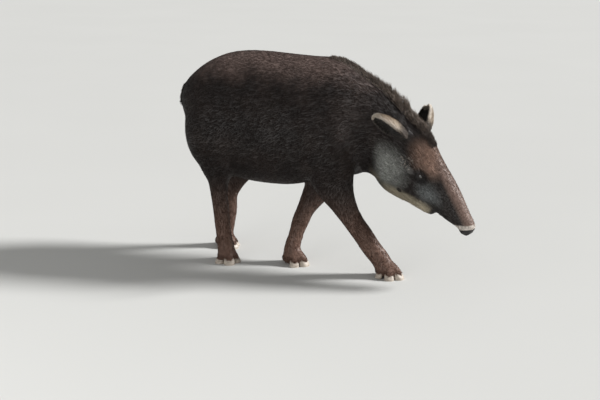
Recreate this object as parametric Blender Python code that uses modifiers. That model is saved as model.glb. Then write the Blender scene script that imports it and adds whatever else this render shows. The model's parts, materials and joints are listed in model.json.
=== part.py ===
"""Lowland tapir, life size, walking with its head low and turned a little to its right.

The animal faces +X, its right side is towards -Y and its feet stand on z = 0. The origin is on
the ground, under the middle of the animal's box. The flesh is shaped whole from lofts and
ellipsoids, fused, and parted into head, neck, torso, tail and legs by thin cuts. Hooves, eyes
and ears are bodies of their own, and the bristles of the mane are fused to what they grow from.
"""

import math
import random

import bmesh
import bpy
import numpy as np
from mathutils import Matrix, Vector

# The collection of what is only there to cut
CUTTERS = "cutters"

# General sizes, in metres and degrees
GAP = 0.0003
FLESH_VOXEL = 0.005
FLESH_TRIANGLES = 5300
RING_SIDES = 40
RINGS_PER_STATION = 5
FLOOR_DEPTH = 0.2
# The corners of a four-sided section
SQUARE = ((-1, -1), (1, -1), (1, 1), (-1, 1))

# Torso and neck, from the rump to the back of the head. Each station is one cross section:
# top x, top z, bottom x, bottom z, half width, belt (height of the widest place, as a share),
# shift to the left, turn to the left, roundness of the upper half and of the lower half
TRUNK = (
    (-0.492, 0.790, -0.492, 0.730, 0.045, 0.50, 0.000, 0, 2.0, 2.0),
    (-0.470, 0.846, -0.462, 0.660, 0.120, 0.50, 0.000, 0, 2.0, 2.0),
    (-0.430, 0.889, -0.415, 0.590, 0.176, 0.48, 0.000, 0, 2.1, 2.0),
    (-0.362, 0.940, -0.345, 0.490, 0.220, 0.46, 0.000, 0, 2.1, 2.0),
    (-0.270, 0.980, -0.260, 0.410, 0.240, 0.45, 0.000, 0, 2.0, 2.1),
    (-0.170, 0.996, -0.165, 0.382, 0.250, 0.43, 0.000, 0, 1.9, 2.1),
    (-0.050, 0.995, -0.050, 0.374, 0.262, 0.42, 0.000, 0, 1.9, 2.1),
    (0.060, 0.988, 0.060, 0.378, 0.264, 0.42, 0.000, 0, 1.9, 2.1),
    (0.160, 0.985, 0.165, 0.402, 0.252, 0.43, 0.000, 0, 1.8, 2.1),
    (0.245, 0.984, 0.265, 0.424, 0.232, 0.45, 0.000, 0, 1.7, 2.0),
    (0.315, 0.958, 0.345, 0.441, 0.205, 0.47, 0.000, -1, 1.7, 2.0),
    (0.385, 0.914, 0.385, 0.453, 0.174, 0.50, -0.003, -4, 1.7, 2.0),
    (0.455, 0.872, 0.404, 0.463, 0.152, 0.52, -0.010, -8, 1.7, 2.0),
    (0.520, 0.824, 0.420, 0.463, 0.136, 0.52, -0.018, -12, 1.7, 2.0),
    (0.580, 0.770, 0.440, 0.456, 0.124, 0.52, -0.026, -16, 1.7, 2.0),
    (0.640, 0.700, 0.470, 0.443, 0.112, 0.52, -0.036, -19, 1.8, 2.0),
    (0.670, 0.640, 0.500, 0.430, 0.090, 0.52, -0.044, -19, 1.9, 2.0),
)

# The head in its own frame: x towards the snout, y to the animal's left, z out of the forehead.
# Its origin lies between the ears, inside the skull.
HEAD_PLACE = (0.610, -0.030, 0.670)
HEAD_TURN = -19.0
HEAD_PITCH = 47.0
# x, top, bottom, half width, belt, roundness of the upper half and of the lower half
SKULL = (
    (-0.070, 0.046, -0.190, 0.070, 0.50, 1.8, 2.0),
    (-0.030, 0.055, -0.238, 0.092, 0.50, 1.7, 2.0),
    (0.020, 0.066, -0.270, 0.103, 0.50, 1.6, 2.0),
    (0.070, 0.066, -0.292, 0.105, 0.50, 1.6, 2.0),
    (0.120, 0.058, -0.290, 0.099, 0.51, 1.7, 2.0),
    (0.170, 0.044, -0.268, 0.090, 0.53, 1.8, 1.9),
    (0.220, 0.035, -0.238, 0.079, 0.56, 2.0, 1.9),
    (0.270, 0.030, -0.196, 0.068, 0.58, 2.1, 1.9),
    (0.320, 0.023, -0.144, 0.058, 0.58, 2.2, 2.0),
    (0.365, 0.016, -0.128, 0.050, 0.55, 2.2, 2.2),
    (0.405, 0.008, -0.116, 0.045, 0.50, 2.2, 2.3),
    (0.445, -0.003, -0.098, 0.042, 0.50, 2.2, 2.3),
    (0.480, -0.010, -0.085, 0.040, 0.50, 2.2, 2.3),
    (0.508, -0.017, -0.086, 0.036, 0.50, 2.1, 2.2),
    (0.522, -0.032, -0.080, 0.024, 0.50, 2.0, 2.0),
)
# The lower jaw, which ends in the chin behind the snout
JAW = (
    (0.120, -0.110, -0.262, 0.070, 0.50, 2.0, 2.0),
    (0.180, -0.110, -0.246, 0.062, 0.50, 2.0, 2.0),
    (0.240, -0.112, -0.222, 0.052, 0.50, 2.0, 2.0),
    (0.290, -0.118, -0.198, 0.043, 0.50, 2.0, 2.0),
    (0.330, -0.124, -0.178, 0.034, 0.50, 2.0, 2.0),
    (0.352, -0.132, -0.164, 0.018, 0.50, 2.0, 2.0),
)
# Swellings on each side of the head: centre x, y to the side, z, and the three radii
HEAD_SWELLINGS = {
    "cheek": ((0.080, 0.048, -0.165), (0.115, 0.056, 0.090)),
    "brow": ((0.180, 0.041, -0.022), (0.075, 0.040, 0.036)),
    "ear_root": ((0.004, 0.076, -0.004), (0.038, 0.030, 0.038)),
    "nostril_wing": ((0.494, 0.020, -0.058), (0.026, 0.022, 0.030)),
}

# Eyes, and the lids round them: a rim outside the eyeball with an almond-shaped opening
EYE_PLACE = (0.192, 0.0700, -0.054)
EYE_LOOK = (0.25, 0.95, 0.12)
EYE_RADIUS = 0.0155
LID_RADII = (0.0275, 0.0190, 0.0215)
LID_OPENING = (0.0140, 0.0150, 0.0078)
LID_TILT = -14.0

# Nostrils and mouth, in the head's frame
NOSTRIL_PLACE = (0.522, 0.017, -0.064)
NOSTRIL_RADII = (0.014, 0.008, 0.011)
MOUTH_LINE = (
    (0.256, -0.118),
    (0.288, -0.130),
    (0.318, -0.134),
    (0.346, -0.129),
    (0.376, -0.126),
)
MOUTH_OPENING = 0.004
MOUTH_HALF_WIDTH = 0.080

# Ears: root, tip and the way the cup opens, in the head's frame. The right one is laid back and
# the left one stands out, as in the photo.
EARS = {
    "ear_right": ((0.006, -0.103, -0.006), (-0.110, -0.220, 0.013), (0.60, -0.66, -0.47)),
    "ear_left": ((0.002, 0.090, -0.008), (-0.084, 0.170, 0.044), (-0.62, -0.77, 0.06)),
}
EAR_HALF_WIDTH = 0.046
EAR_WALL = 0.007
# Depth of the cup at its root, and what it loses towards the tip, as shares of the half width
EAR_DEPTH = (1.25, 0.50)

# Legs: centre x, y, z, half depth from front to back, and half width of each station
LEGS = {
    "foreleg_right": (
        (0.250, -0.120, 0.620, 0.120, 0.085),
        (0.262, -0.136, 0.500, 0.116, 0.080),
        (0.283, -0.138, 0.420, 0.098, 0.070),
        (0.322, -0.132, 0.340, 0.067, 0.056),
        (0.371, -0.124, 0.255, 0.049, 0.047),
        (0.419, -0.116, 0.188, 0.048, 0.043),
        (0.458, -0.109, 0.132, 0.046, 0.042),
        (0.494, -0.104, 0.088, 0.045, 0.044),
        (0.518, -0.101, 0.050, 0.044, 0.046),
    ),
    "foreleg_left": (
        (0.250, 0.120, 0.620, 0.120, 0.085),
        (0.232, 0.118, 0.500, 0.108, 0.076),
        (0.190, 0.098, 0.420, 0.097, 0.066),
        (0.149, 0.062, 0.340, 0.071, 0.055),
        (0.108, 0.022, 0.255, 0.046, 0.045),
        (0.090, -0.006, 0.200, 0.043, 0.042),
        (0.075, -0.028, 0.140, 0.037, 0.038),
        (0.064, -0.042, 0.090, 0.038, 0.041),
        (0.060, -0.049, 0.050, 0.042, 0.046),
    ),
    "hindleg_right": (
        (-0.270, -0.110, 0.650, 0.160, 0.095),
        (-0.276, -0.138, 0.540, 0.128, 0.082),
        (-0.280, -0.143, 0.460, 0.086, 0.066),
        (-0.276, -0.136, 0.400, 0.057, 0.052),
        (-0.277, -0.128, 0.345, 0.047, 0.043),
        (-0.271, -0.121, 0.270, 0.041, 0.038),
        (-0.264, -0.116, 0.190, 0.040, 0.036),
        (-0.257, -0.112, 0.120, 0.038, 0.038),
        (-0.251, -0.110, 0.080, 0.041, 0.042),
        (-0.246, -0.110, 0.050, 0.043, 0.045),
    ),
    "hindleg_left": (
        (-0.270, 0.110, 0.650, 0.160, 0.095),
        (-0.272, 0.138, 0.540, 0.130, 0.082),
        (-0.262, 0.144, 0.460, 0.110, 0.066),
        (-0.272, 0.140, 0.400, 0.092, 0.054),
        (-0.294, 0.134, 0.345, 0.068, 0.045),
        (-0.318, 0.128, 0.270, 0.048, 0.039),
        (-0.317, 0.123, 0.190, 0.043, 0.037),
        (-0.325, 0.120, 0.120, 0.040, 0.039),
        (-0.333, 0.119, 0.080, 0.041, 0.042),
        (-0.338, 0.118, 0.050, 0.043, 0.045),
    ),
}
# Muscle masses under the skin: centre and radii
MUSCLES = {
    "shoulder_right": ((0.250, -0.155, 0.610), (0.108, 0.092, 0.205)),
    "shoulder_left": ((0.238, 0.155, 0.610), (0.108, 0.092, 0.205)),
    "haunch_right": ((-0.282, -0.132, 0.640), (0.160, 0.122, 0.215)),
    "haunch_left": ((-0.282, 0.132, 0.640), (0.160, 0.122, 0.215)),
}

# Feet: the ground point under the ankle, the way the toes point, and the side of the body
FEET = {
    "forefoot_right": ((0.524, -0.100), -16.0, -1),
    "forefoot_left": ((0.062, -0.050), -18.0, 1),
    "hindfoot_right": ((-0.246, -0.108), -60.0, -1),
    "hindfoot_left": ((-0.341, 0.118), -30.0, 1),
}
ANKLE_HEIGHT = 0.052
PAD_RADII = (0.046, 0.045, 0.032)
# Toes: name, angle from the foot's own direction towards the outer side, reach, radius, lift
FORE_TOES = (
    ("inner", -44.0, 0.054, 0.0210, 0.000),
    ("middle", 0.0, 0.064, 0.0245, 0.000),
    ("outer", 44.0, 0.054, 0.0210, 0.000),
    ("last", 98.0, 0.045, 0.0155, 0.006),
)
HIND_TOES = (
    ("inner", -44.0, 0.052, 0.0210, 0.000),
    ("middle", 0.0, 0.063, 0.0250, 0.000),
    ("outer", 44.0, 0.052, 0.0210, 0.000),
)
# Hoof sections from the ground up, as shares of the toe's radius: height, shift back, half
# length and half width
HOOF_SECTIONS = (
    (-0.15, 0.00, 0.94, 1.04),
    (0.45, 0.06, 0.94, 1.04),
    (1.00, 0.24, 0.84, 0.97),
    (1.45, 0.46, 0.64, 0.80),
    (1.70, 0.62, 0.36, 0.50),
)
HOOF_REACH = 0.30
HOOF_SIDES = 8

# Tail: centre x, z, half depth and half width of each station
TAIL = (
    (-0.440, 0.838, 0.026, 0.034),
    (-0.470, 0.818, 0.027, 0.032),
    (-0.494, 0.786, 0.024, 0.026),
    (-0.505, 0.748, 0.019, 0.020),
    (-0.505, 0.712, 0.013, 0.014),
    (-0.502, 0.696, 0.006, 0.007),
)

# Cuts that part the flesh: centre, the way the cut faces, and its half size across
CUTS = {
    "neck": ((0.355, -0.003, 0.700), (0.974, -0.030, 0.225), (0.276, 0.300)),
    "foreleg_right": ((0.280, -0.150, 0.416), (0.00, 0.543, 0.84), (0.150, 0.140)),
    "foreleg_left": ((0.205, 0.100, 0.388), (0.00, -0.49, 0.87), (0.175, 0.135)),
    "hindleg_right": ((-0.275, -0.145, 0.415), (0.00, 0.543, 0.84), (0.165, 0.125)),
    "hindleg_left": ((-0.265, 0.145, 0.412), (0.00, -0.577, 0.817), (0.160, 0.125)),
}
HEAD_CUT_X = -0.035
# How far down each leg, in stations, its lengths are parted
LEG_CUT_STATIONS = {
    "foreleg_right": (4.9, 7.05),
    "foreleg_left": (4.9, 7.05),
    "hindleg_right": (4.9, 7.95),
    "hindleg_left": (4.9, 7.95),
}
# The parts of the flesh, each with a point near its middle
FLESH_PARTS = {
    "torso": ((-0.080, 0.000, 0.680), "coat"),
    "neck": ((0.460, -0.020, 0.670), "mane_coat"),
    "head": ((0.720, -0.080, 0.460), "head_coat"),
    "foreleg_right_upper": ((0.330, -0.130, 0.320), "leg_coat"),
    "foreleg_right_lower": ((0.450, -0.110, 0.140), "leg_coat"),
    "forefoot_right": ((0.530, -0.100, 0.040), "leg_coat"),
    "foreleg_left_upper": ((0.145, 0.060, 0.320), "leg_coat"),
    "foreleg_left_lower": ((0.080, -0.020, 0.150), "leg_coat"),
    "forefoot_left": ((0.068, -0.050, 0.040), "leg_coat"),
    "hindleg_right_upper": ((-0.278, -0.135, 0.340), "leg_coat"),
    "hindleg_right_lower": ((-0.255, -0.116, 0.170), "leg_coat"),
    "hindfoot_right": ((-0.238, -0.115, 0.035), "leg_coat"),
    "hindleg_left_upper": ((-0.290, 0.135, 0.340), "leg_coat"),
    "hindleg_left_lower": ((-0.320, 0.122, 0.170), "leg_coat"),
    "hindfoot_left": ((-0.335, 0.112, 0.035), "leg_coat"),
}

# Mane: bristly locks from the withers to the forehead. For each node that carries some: where they
# start and end, as station numbers of the trunk or places along the head, and how long they are
# there, as shares of the longest
MANE = {
    "neck": (10.05, 13.65, 0.62, 1.00),
    "head": (-0.074, 0.112, 0.98, 0.34),
}
LOCK_SPACING = 0.0235
LOCK_LENGTH = 0.060
LOCK_WIDTH = 0.030
LOCK_THICKNESS = 0.0085
LOCK_SINK = 0.012
LOCK_LEAN = 38.0
LOCK_ROWS = (-1, 0, 1)
LOCK_ROW_OFFSET = 0.0080
LOCK_FAN = 11.0
LOCK_EDGE_LEAN = 20.0
LOCK_EDGE_ROOM = 0.020
# How the lean grows from the root to the tip, as a share of it, and its value at the tip
LOCK_CURL = (0.55, 0.75)
LOCK_BEND = 1.3
# The dense core under the tips: its height as a share of the locks, and its half width
CORE_SHARE = 0.36
CORE_HALF_WIDTH = 0.013
MANE_SEED = 11

# Finish of each sub-part: colour, roughness and metallic value
FINISHES = {
    "coat": ((0.045, 0.030, 0.024, 1.0), 0.62, 0.0),
    "head_coat": ((0.085, 0.070, 0.062, 1.0), 0.62, 0.0),
    "mane_coat": ((0.050, 0.032, 0.024, 1.0), 0.60, 0.0),
    "ear_skin": ((0.075, 0.060, 0.052, 1.0), 0.60, 0.0),
    "leg_coat": ((0.055, 0.032, 0.024, 1.0), 0.58, 0.0),
    "hoof_horn": ((0.290, 0.240, 0.200, 1.0), 0.48, 0.0),
    "eye_wet": ((0.012, 0.009, 0.008, 1.0), 0.08, 0.0),
}


def clear_scene():
    for obj in list(bpy.data.objects):
        bpy.data.objects.remove(obj, do_unlink=True)


def new_collection(name):
    collection = bpy.data.collections.new(name)
    bpy.context.scene.collection.children.link(collection)
    return collection


def finish(slot):
    """The material of one kind of surface."""
    found = bpy.data.materials.get(slot)
    if found:
        return found
    material = bpy.data.materials.new(slot)
    material.use_nodes = True
    colour, roughness, metallic = FINISHES[slot]
    shader = material.node_tree.nodes["Principled BSDF"]
    shader.inputs["Base Color"].default_value = colour
    shader.inputs["Roughness"].default_value = roughness
    shader.inputs["Metallic"].default_value = metallic
    return material


def object_from(bm, name, collection):
    """An object of the built faces, split into triangles so that every copy bends alike."""
    bmesh.ops.triangulate(bm, faces=bm.faces)
    mesh = bpy.data.meshes.new(name)
    bm.to_mesh(mesh)
    bm.free()
    obj = bpy.data.objects.new(name, mesh)
    collection.objects.link(obj)
    if collection.name == CUTTERS:
        obj.hide_render = True
        obj.display_type = "WIRE"
    return obj


def bake_modifiers(obj):
    """Replaces the object's mesh by the one that its modifiers make."""
    bpy.context.view_layer.update()
    graph = bpy.context.evaluated_depsgraph_get()
    made = bpy.data.meshes.new_from_object(obj.evaluated_get(graph))
    old = obj.data
    obj.modifiers.clear()
    obj.data = made
    bpy.data.meshes.remove(old)


def join_collection(target, collection, operation="UNION", solver="EXACT"):
    """Fuses a collection of closed bodies with the target, or takes them from it."""
    modifier = target.modifiers.new("join", "BOOLEAN")
    modifier.operand_type = "COLLECTION"
    modifier.collection = collection
    modifier.operation = operation
    modifier.solver = solver
    bake_modifiers(target)
    for obj in list(collection.objects):
        bpy.data.objects.remove(obj, do_unlink=True)


def combine(target, other, operation):
    modifier = target.modifiers.new("combine", "BOOLEAN")
    modifier.object = other
    modifier.operation = operation
    bake_modifiers(target)


def swollen(obj, by, collection):
    """A copy of a closed body whose surface lies a little further out."""
    copy = bpy.data.objects.new(obj.name + "_swollen", obj.data.copy())
    collection.objects.link(copy)
    modifier = copy.modifiers.new("swell", "DISPLACE")
    modifier.strength = by
    modifier.mid_level = 0.0
    bake_modifiers(copy)
    return copy


def keep_largest(obj):
    """Leaves only the largest closed surface of an object, with its small steps welded."""
    bm = bmesh.new()
    bm.from_mesh(obj.data)
    bmesh.ops.remove_doubles(bm, verts=bm.verts, dist=0.00002)
    bm.verts.ensure_lookup_table()
    seen = set()
    islands = []
    for start in bm.verts:
        if start in seen:
            continue
        island = [start]
        seen.add(start)
        for vertex in island:
            for edge in vertex.link_edges:
                other = edge.other_vert(vertex)
                if other not in seen:
                    seen.add(other)
                    island.append(other)
        islands.append(island)
    islands.sort(key=lambda island: spread_of(island), reverse=True)
    for island in islands[1:]:
        bmesh.ops.delete(bm, geom=island, context="VERTS")
    bm.to_mesh(obj.data)
    bm.free()


def spread_of(vertices):
    """The volume of the box round some vertices."""
    places = np.array([v.co for v in vertices])
    return float(np.prod(places.max(axis=0) - places.min(axis=0)))


def smooth_rows(rows, steps):
    """Rows between the given ones, on a curve through them, with the row number of each."""
    table = np.array(rows, float)
    last = len(table) - 1
    made = []
    for i in range(last * steps + 1):
        place = i / steps
        made.append((place, row_at(table, place)))
    return made


def row_at(table, place):
    """The row at a fractional row number, by a curve that passes through every row."""
    table = np.asarray(table, float)
    last = len(table) - 1
    k = min(int(place), last - 1)
    t = place - k
    before = table[max(k - 1, 0)]
    here = table[k]
    there = table[k + 1]
    after = table[min(k + 2, last)]
    slope_here = (there - before) / 2
    slope_there = (after - here) / 2
    t2 = t * t
    t3 = t2 * t
    return (
        (2 * t3 - 3 * t2 + 1) * here
        + (t3 - 2 * t2 + t) * slope_here
        + (3 * t2 - 2 * t3) * there
        + (t3 - t2) * slope_there
    )


def oval(top, bottom, half_width, belt, across, round_up, round_low, sides=RING_SIDES):
    """A closed ring from its top and bottom points, widest at the belt."""
    middle = bottom.lerp(top, belt)
    up = top - middle
    down = middle - bottom
    ring = []
    for i in range(sides):
        angle = 2 * math.pi * i / sides
        c, s = math.cos(angle), math.sin(angle)
        power = 2 / (round_up if s >= 0 else round_low)
        sideways = math.copysign(abs(c) ** power, c) * half_width
        height = math.copysign(abs(s) ** power, s)
        ring.append(middle + across * sideways + (up if s >= 0 else down) * height)
    return ring


def loft(rings, name, collection):
    """A closed body through a row of rings of equal count, with a fan over each end."""
    bm = bmesh.new()
    loops = [[bm.verts.new(p) for p in ring] for ring in rings]
    for loop, following in zip(loops, loops[1:]):
        for i, vertex in enumerate(loop):
            j = (i + 1) % len(loop)
            bm.faces.new((vertex, loop[j], following[j], following[i]))
    for loop in (loops[0], loops[-1]):
        centre = sum((v.co for v in loop), Vector()) / len(loop)
        hub = bm.verts.new(centre)
        for i, vertex in enumerate(loop):
            bm.faces.new((vertex, loop[(i + 1) % len(loop)], hub))
    bmesh.ops.recalc_face_normals(bm, faces=bm.faces)
    return object_from(bm, name, collection)


def ellipsoid(name, centre, radii, collection, matrix=None, segments=24, rings=16):
    """An ellipsoid, placed and turned by a matrix if one is given."""
    bm = bmesh.new()
    bmesh.ops.create_uvsphere(bm, u_segments=segments, v_segments=rings, radius=1.0)
    size = Matrix.Diagonal((*radii, 1.0))
    place = (matrix or Matrix.Identity(4)) @ Matrix.Translation(centre) @ size
    bmesh.ops.transform(bm, matrix=place, verts=bm.verts)
    return object_from(bm, name, collection)


def head_matrix():
    turn = Matrix.Rotation(math.radians(HEAD_TURN), 4, "Z")
    pitch = Matrix.Rotation(math.radians(HEAD_PITCH), 4, "Y")
    return Matrix.Translation(HEAD_PLACE) @ turn @ pitch


HEAD_MATRIX_INVERSE = head_matrix().inverted()


def trunk_section(place):
    """Top, bottom and sideways direction of the trunk at a station number, with its row."""
    row = row_at(TRUNK, place)
    turn = math.radians(row[7])
    across = Vector((-math.sin(turn), math.cos(turn), 0.0))
    top = Vector((row[0], row[6], row[1]))
    bottom = Vector((row[2], row[6], row[3]))
    return top, bottom, across, row


def make_trunk(collection):
    rings = []
    for i in range((len(TRUNK) - 1) * RINGS_PER_STATION + 1):
        top, bottom, across, row = trunk_section(i / RINGS_PER_STATION)
        rings.append(oval(top, bottom, row[4], row[5], across, row[8], row[9]))
    return loft(rings, "trunk", collection)


def make_head_loft(name, rows, collection):
    """A loft in the head's frame."""
    matrix = head_matrix()
    across = matrix.to_3x3() @ Vector((0, 1, 0))
    rings = []
    for _, row in smooth_rows(rows, RINGS_PER_STATION):
        top = matrix @ Vector((row[0], 0, row[1]))
        bottom = matrix @ Vector((row[0], 0, row[2]))
        rings.append(oval(top, bottom, row[3], row[4], across, row[5], row[6]))
    return loft(rings, name, collection)


def make_head_swellings(collection):
    matrix = head_matrix()
    for name, (centre, radii) in HEAD_SWELLINGS.items():
        for side in (-1, 1):
            place = (centre[0], centre[1] * side, centre[2])
            ellipsoid(name, place, radii, collection, matrix)


def make_tube(name, rows, collection, sides=RING_SIDES, steps=RINGS_PER_STATION):
    """A limb or a tail: a loft whose rings stand square to its own line."""
    stations = [row for _, row in smooth_rows(rows, steps)]
    rings = []
    for i, row in enumerate(stations):
        before = stations[max(i - 1, 0)]
        after = stations[min(i + 1, len(stations) - 1)]
        along = Vector(after[:3] - before[:3]).normalized()
        fore = Vector((0, 1, 0)).cross(along).normalized()
        across = along.cross(fore).normalized()
        centre = Vector(row[:3])
        front, rear = centre + fore * row[3], centre - fore * row[3]
        rings.append(oval(front, rear, row[4], 0.5, across, 2, 2, sides))
    return loft(rings, name, collection)


def foot_matrix(name):
    (x, y), turn, _ = FEET[name]
    return Matrix.Translation((x, y, 0)) @ Matrix.Rotation(math.radians(turn), 4, "Z")


def toes_of(name):
    """Each toe's name, direction, reach, radius and lift, with the turn on the right side."""
    side = FEET[name][2]
    for toe, angle, reach, radius, lift in FORE_TOES if "fore" in name else HIND_TOES:
        yield toe, math.radians(angle * side), reach, radius, lift


def make_foot_flesh(name, collection):
    matrix = foot_matrix(name)
    ellipsoid("pad", (-0.004, 0, 0.026), PAD_RADII, collection, matrix)
    for _, angle, reach, radius, lift in toes_of(name):
        way = Vector((math.cos(angle), math.sin(angle), 0))
        tip = way * reach + Vector((0, 0, radius * 0.95 + lift))
        root = way * 0.008 + Vector((0, 0, ANKLE_HEIGHT))
        steps = 5
        for i in range(steps):
            share = i / (steps - 1)
            centre = root.lerp(tip, share) + Vector((0, 0, 0.010 * math.sin(math.pi * share)))
            size = (radius * (1.10 - 0.12 * share),) * 3
            ellipsoid("toe", centre, size, collection, matrix, 16, 10)


def make_hoof(name, toe, angle, reach, radius, lift, collection):
    """One hoof: a blunt tapered cap whose rear half sits in the toe."""
    matrix = foot_matrix(name) @ Matrix.Rotation(angle, 4, "Z")
    across = matrix.to_3x3() @ Vector((0, 1, 0))
    rings = []
    for height, back, long, wide in HOOF_SECTIONS:
        middle = Vector((reach + radius * (HOOF_REACH - back), 0, radius * height + lift))
        half = Vector((radius * long, 0, -radius * long * 0.35 * height))
        front, rear = matrix @ (middle + half), matrix @ (middle - half)
        rings.append(oval(front, rear, radius * wide, 0.5, across, 2.3, 2.3, HOOF_SIDES))
    return loft(rings, f"{name}_hoof_{toe}", collection)


def floor_block(collection, top):
    """A block whose top is the level that the animal stands on."""
    bm = bmesh.new()
    size = Matrix.Diagonal((3.0, 3.0, FLOOR_DEPTH, 1.0))
    bmesh.ops.create_cube(bm, size=1.0, matrix=Matrix.Translation((0, 0, top - FLOOR_DEPTH / 2)) @ size)
    return object_from(bm, "floor_block", collection)


def make_flesh(shapes):
    """The whole animal in one closed surface, without ears, eyes and hooves."""
    make_trunk(shapes)
    make_head_loft("skull", SKULL, shapes)
    make_head_loft("jaw", JAW, shapes)
    make_head_swellings(shapes)
    for name, (centre, radii) in MUSCLES.items():
        ellipsoid(name, centre, radii, shapes)
    for name, rows in LEGS.items():
        make_tube(name, rows, shapes)
    for name in FEET:
        make_foot_flesh(name, shapes)
    bm = bmesh.new()
    for obj in list(shapes.objects):
        bm.from_mesh(obj.data)
        bpy.data.objects.remove(obj, do_unlink=True)
    flesh = object_from(bm, "flesh", shapes)
    remesh = flesh.modifiers.new("fuse", "REMESH")
    remesh.mode = "VOXEL"
    remesh.voxel_size = FLESH_VOXEL
    bake_modifiers(flesh)
    group = flesh.vertex_groups.new(name="soft")
    for vertex in flesh.data.vertices:
        group.add([vertex.index], softness(vertex.co), "REPLACE")
    for iterations, weight in ((8, ""), (140, "soft")):
        blend = flesh.modifiers.new("blend", "SMOOTH")
        blend.factor = 0.5
        blend.iterations = iterations
        blend.vertex_group = weight
    bake_modifiers(flesh)
    flesh.vertex_groups.clear()
    thin = flesh.modifiers.new("thin", "DECIMATE")
    thin.ratio = FLESH_TRIANGLES / (2 * len(flesh.data.polygons))
    thin.use_collapse_triangulate = True
    bake_modifiers(flesh)
    return flesh


def softness(place):
    """How strongly the joins are smoothed at a place: fully on the body, less on the extremities."""
    local = HEAD_MATRIX_INVERSE @ place
    if place.x > 0.4 and place.z > 0.15 and local.x > -0.1:
        return 1.0 - 0.88 * min(1.0, max(0.0, (local.x - 0.10) / 0.10))
    return 0.14 + 0.86 * min(1.0, max(0.0, (place.z - 0.28) / 0.14))


def eye_matrix(side):
    """The eye's own frame: y looks out of the head and x runs along the opening of the lids."""
    look = Vector((EYE_LOOK[0], EYE_LOOK[1] * side, EYE_LOOK[2])).normalized()
    tilt = math.radians(LID_TILT)
    along = Vector((math.cos(tilt), 0, math.sin(tilt)))
    along = (along - look * along.dot(look)).normalized()
    turn = Matrix((along, look, along.cross(look))).transposed().to_4x4()
    place = Matrix.Translation((EYE_PLACE[0], EYE_PLACE[1] * side, EYE_PLACE[2]))
    return head_matrix() @ place @ turn


def make_eye(side, collection):
    name = "eye_left" if side > 0 else "eye_right"
    return ellipsoid(name, (0, 0, 0), (EYE_RADIUS,) * 3, collection, eye_matrix(side), 12, 7)


def make_lids(collection):
    for side in (-1, 1):
        ellipsoid("lid", (0, 0, 0), LID_RADII, collection, eye_matrix(side), 16, 10)


def make_lid_cutters(collection):
    """The opening between the lids, in front of each eyeball."""
    for side in (-1, 1):
        ellipsoid("opening", (0, EYE_RADIUS, 0), LID_OPENING, collection, eye_matrix(side), 16, 10)


def make_nostril_cutters(collection):
    matrix = head_matrix()
    for side in (-1, 1):
        place = (NOSTRIL_PLACE[0], NOSTRIL_PLACE[1] * side, NOSTRIL_PLACE[2])
        ellipsoid("nostril", place, NOSTRIL_RADII, collection, matrix, 12, 8)


def make_mouth_cutter(collection):
    """A thin bent wedge along the line of the mouth, through both lips."""
    matrix = head_matrix()
    rings = []
    for i, (x, z) in enumerate(MOUTH_LINE):
        half = MOUTH_OPENING / 2 * min(1.0, 0.5 + 0.25 * i)
        rings.append([matrix @ Vector((x, MOUTH_HALF_WIDTH * a, z + half * b)) for a, b in SQUARE])
    return loft(rings, "mouth", collection)


def make_ear(name, collection):
    """A leaf-shaped cup with a thick wall, wide above its root and blunt at its tip."""
    matrix = head_matrix()
    root, tip, opens = (Vector(v) for v in EARS[name])
    long = tip - root
    along = long.normalized()
    opens = (opens - along * opens.dot(along)).normalized()
    across = along.cross(opens)
    rings = []
    steps = 10
    wall_sides = 7
    for i in range(steps):
        share = i / (steps - 1)
        centre = root - along * 0.020 + (long + along * 0.020) * share
        width = EAR_HALF_WIDTH * ear_width(share)
        depth = width * (EAR_DEPTH[0] - EAR_DEPTH[1] * share)
        wall = min(EAR_WALL * (1.0 - 0.45 * share), width * 0.6)
        cup = min(1.0, max(0.0, (share - 0.26) / 0.16))
        outer = []
        inner = []
        for k in range(wall_sides):
            turn = math.radians(-105 + 210 * k / (wall_sides - 1))
            side = across * math.sin(turn)
            back = opens * math.cos(turn)
            outward = side * width - back * depth
            inside = side * (width - wall) - back * (depth - wall)
            filled = across * math.sin(turn * 0.857) * width * 0.9
            filled += opens * width * (0.10 + 0.30 * math.cos(turn * 0.857))
            outer.append(centre + outward)
            inner.append(centre + inside * cup + filled * (1 - cup))
        rings.append([matrix @ p for p in outer + inner[::-1]])
    return loft(rings, name, collection)


def ear_width(share):
    """Half width along the ear, from root to tip, as a share of the widest."""
    return float(np.interp(share, (0, 0.2, 0.45, 0.7, 0.88, 1.0), (0.62, 0.86, 1.0, 0.93, 0.72, 0.34)))


def slab(centre, normal, half_size, collection, thickness=GAP):
    """A thin plate that parts the flesh: first half size fore and aft or up, second across."""
    normal = Vector(normal).normalized()
    guide = Vector((1, 0, 0)) if abs(normal.x) < 0.7 else Vector((0, 0, 1))
    first = (guide - normal * guide.dot(normal)).normalized()
    turn = Matrix((first, normal.cross(first), normal)).transposed().to_4x4()
    size = Matrix.Diagonal((2 * half_size[0], 2 * half_size[1], thickness, 1.0))
    bm = bmesh.new()
    bmesh.ops.create_cube(bm, size=1.0, matrix=Matrix.Translation(centre) @ turn @ size)
    return object_from(bm, "cut", collection)


def ridge(place):
    """A point on the top line of the trunk, the way towards the head, and the way out."""
    top, bottom, across, _ = trunk_section(place)
    step = 0.05
    ahead = trunk_section(min(place + step, len(TRUNK) - 1))[0]
    behind = trunk_section(max(place - step, 0))[0]
    along = (ahead - behind).normalized()
    return top, along, along.cross(across).normalized(), across


def head_ridge(x):
    """The same on the head's top line, at a place along the head."""
    matrix = head_matrix()
    table = np.array(SKULL)
    step = 0.01
    levels = [float(np.interp(x + d, table[:, 0], table[:, 1])) for d in (-step, 0, step)]
    top = matrix @ Vector((x, 0, levels[1]))
    turned = matrix.to_3x3()
    along = (turned @ Vector((2 * step, 0, levels[2] - levels[0]))).normalized()
    across = turned @ Vector((0, 1, 0))
    return top, along, along.cross(across).normalized(), across


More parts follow.
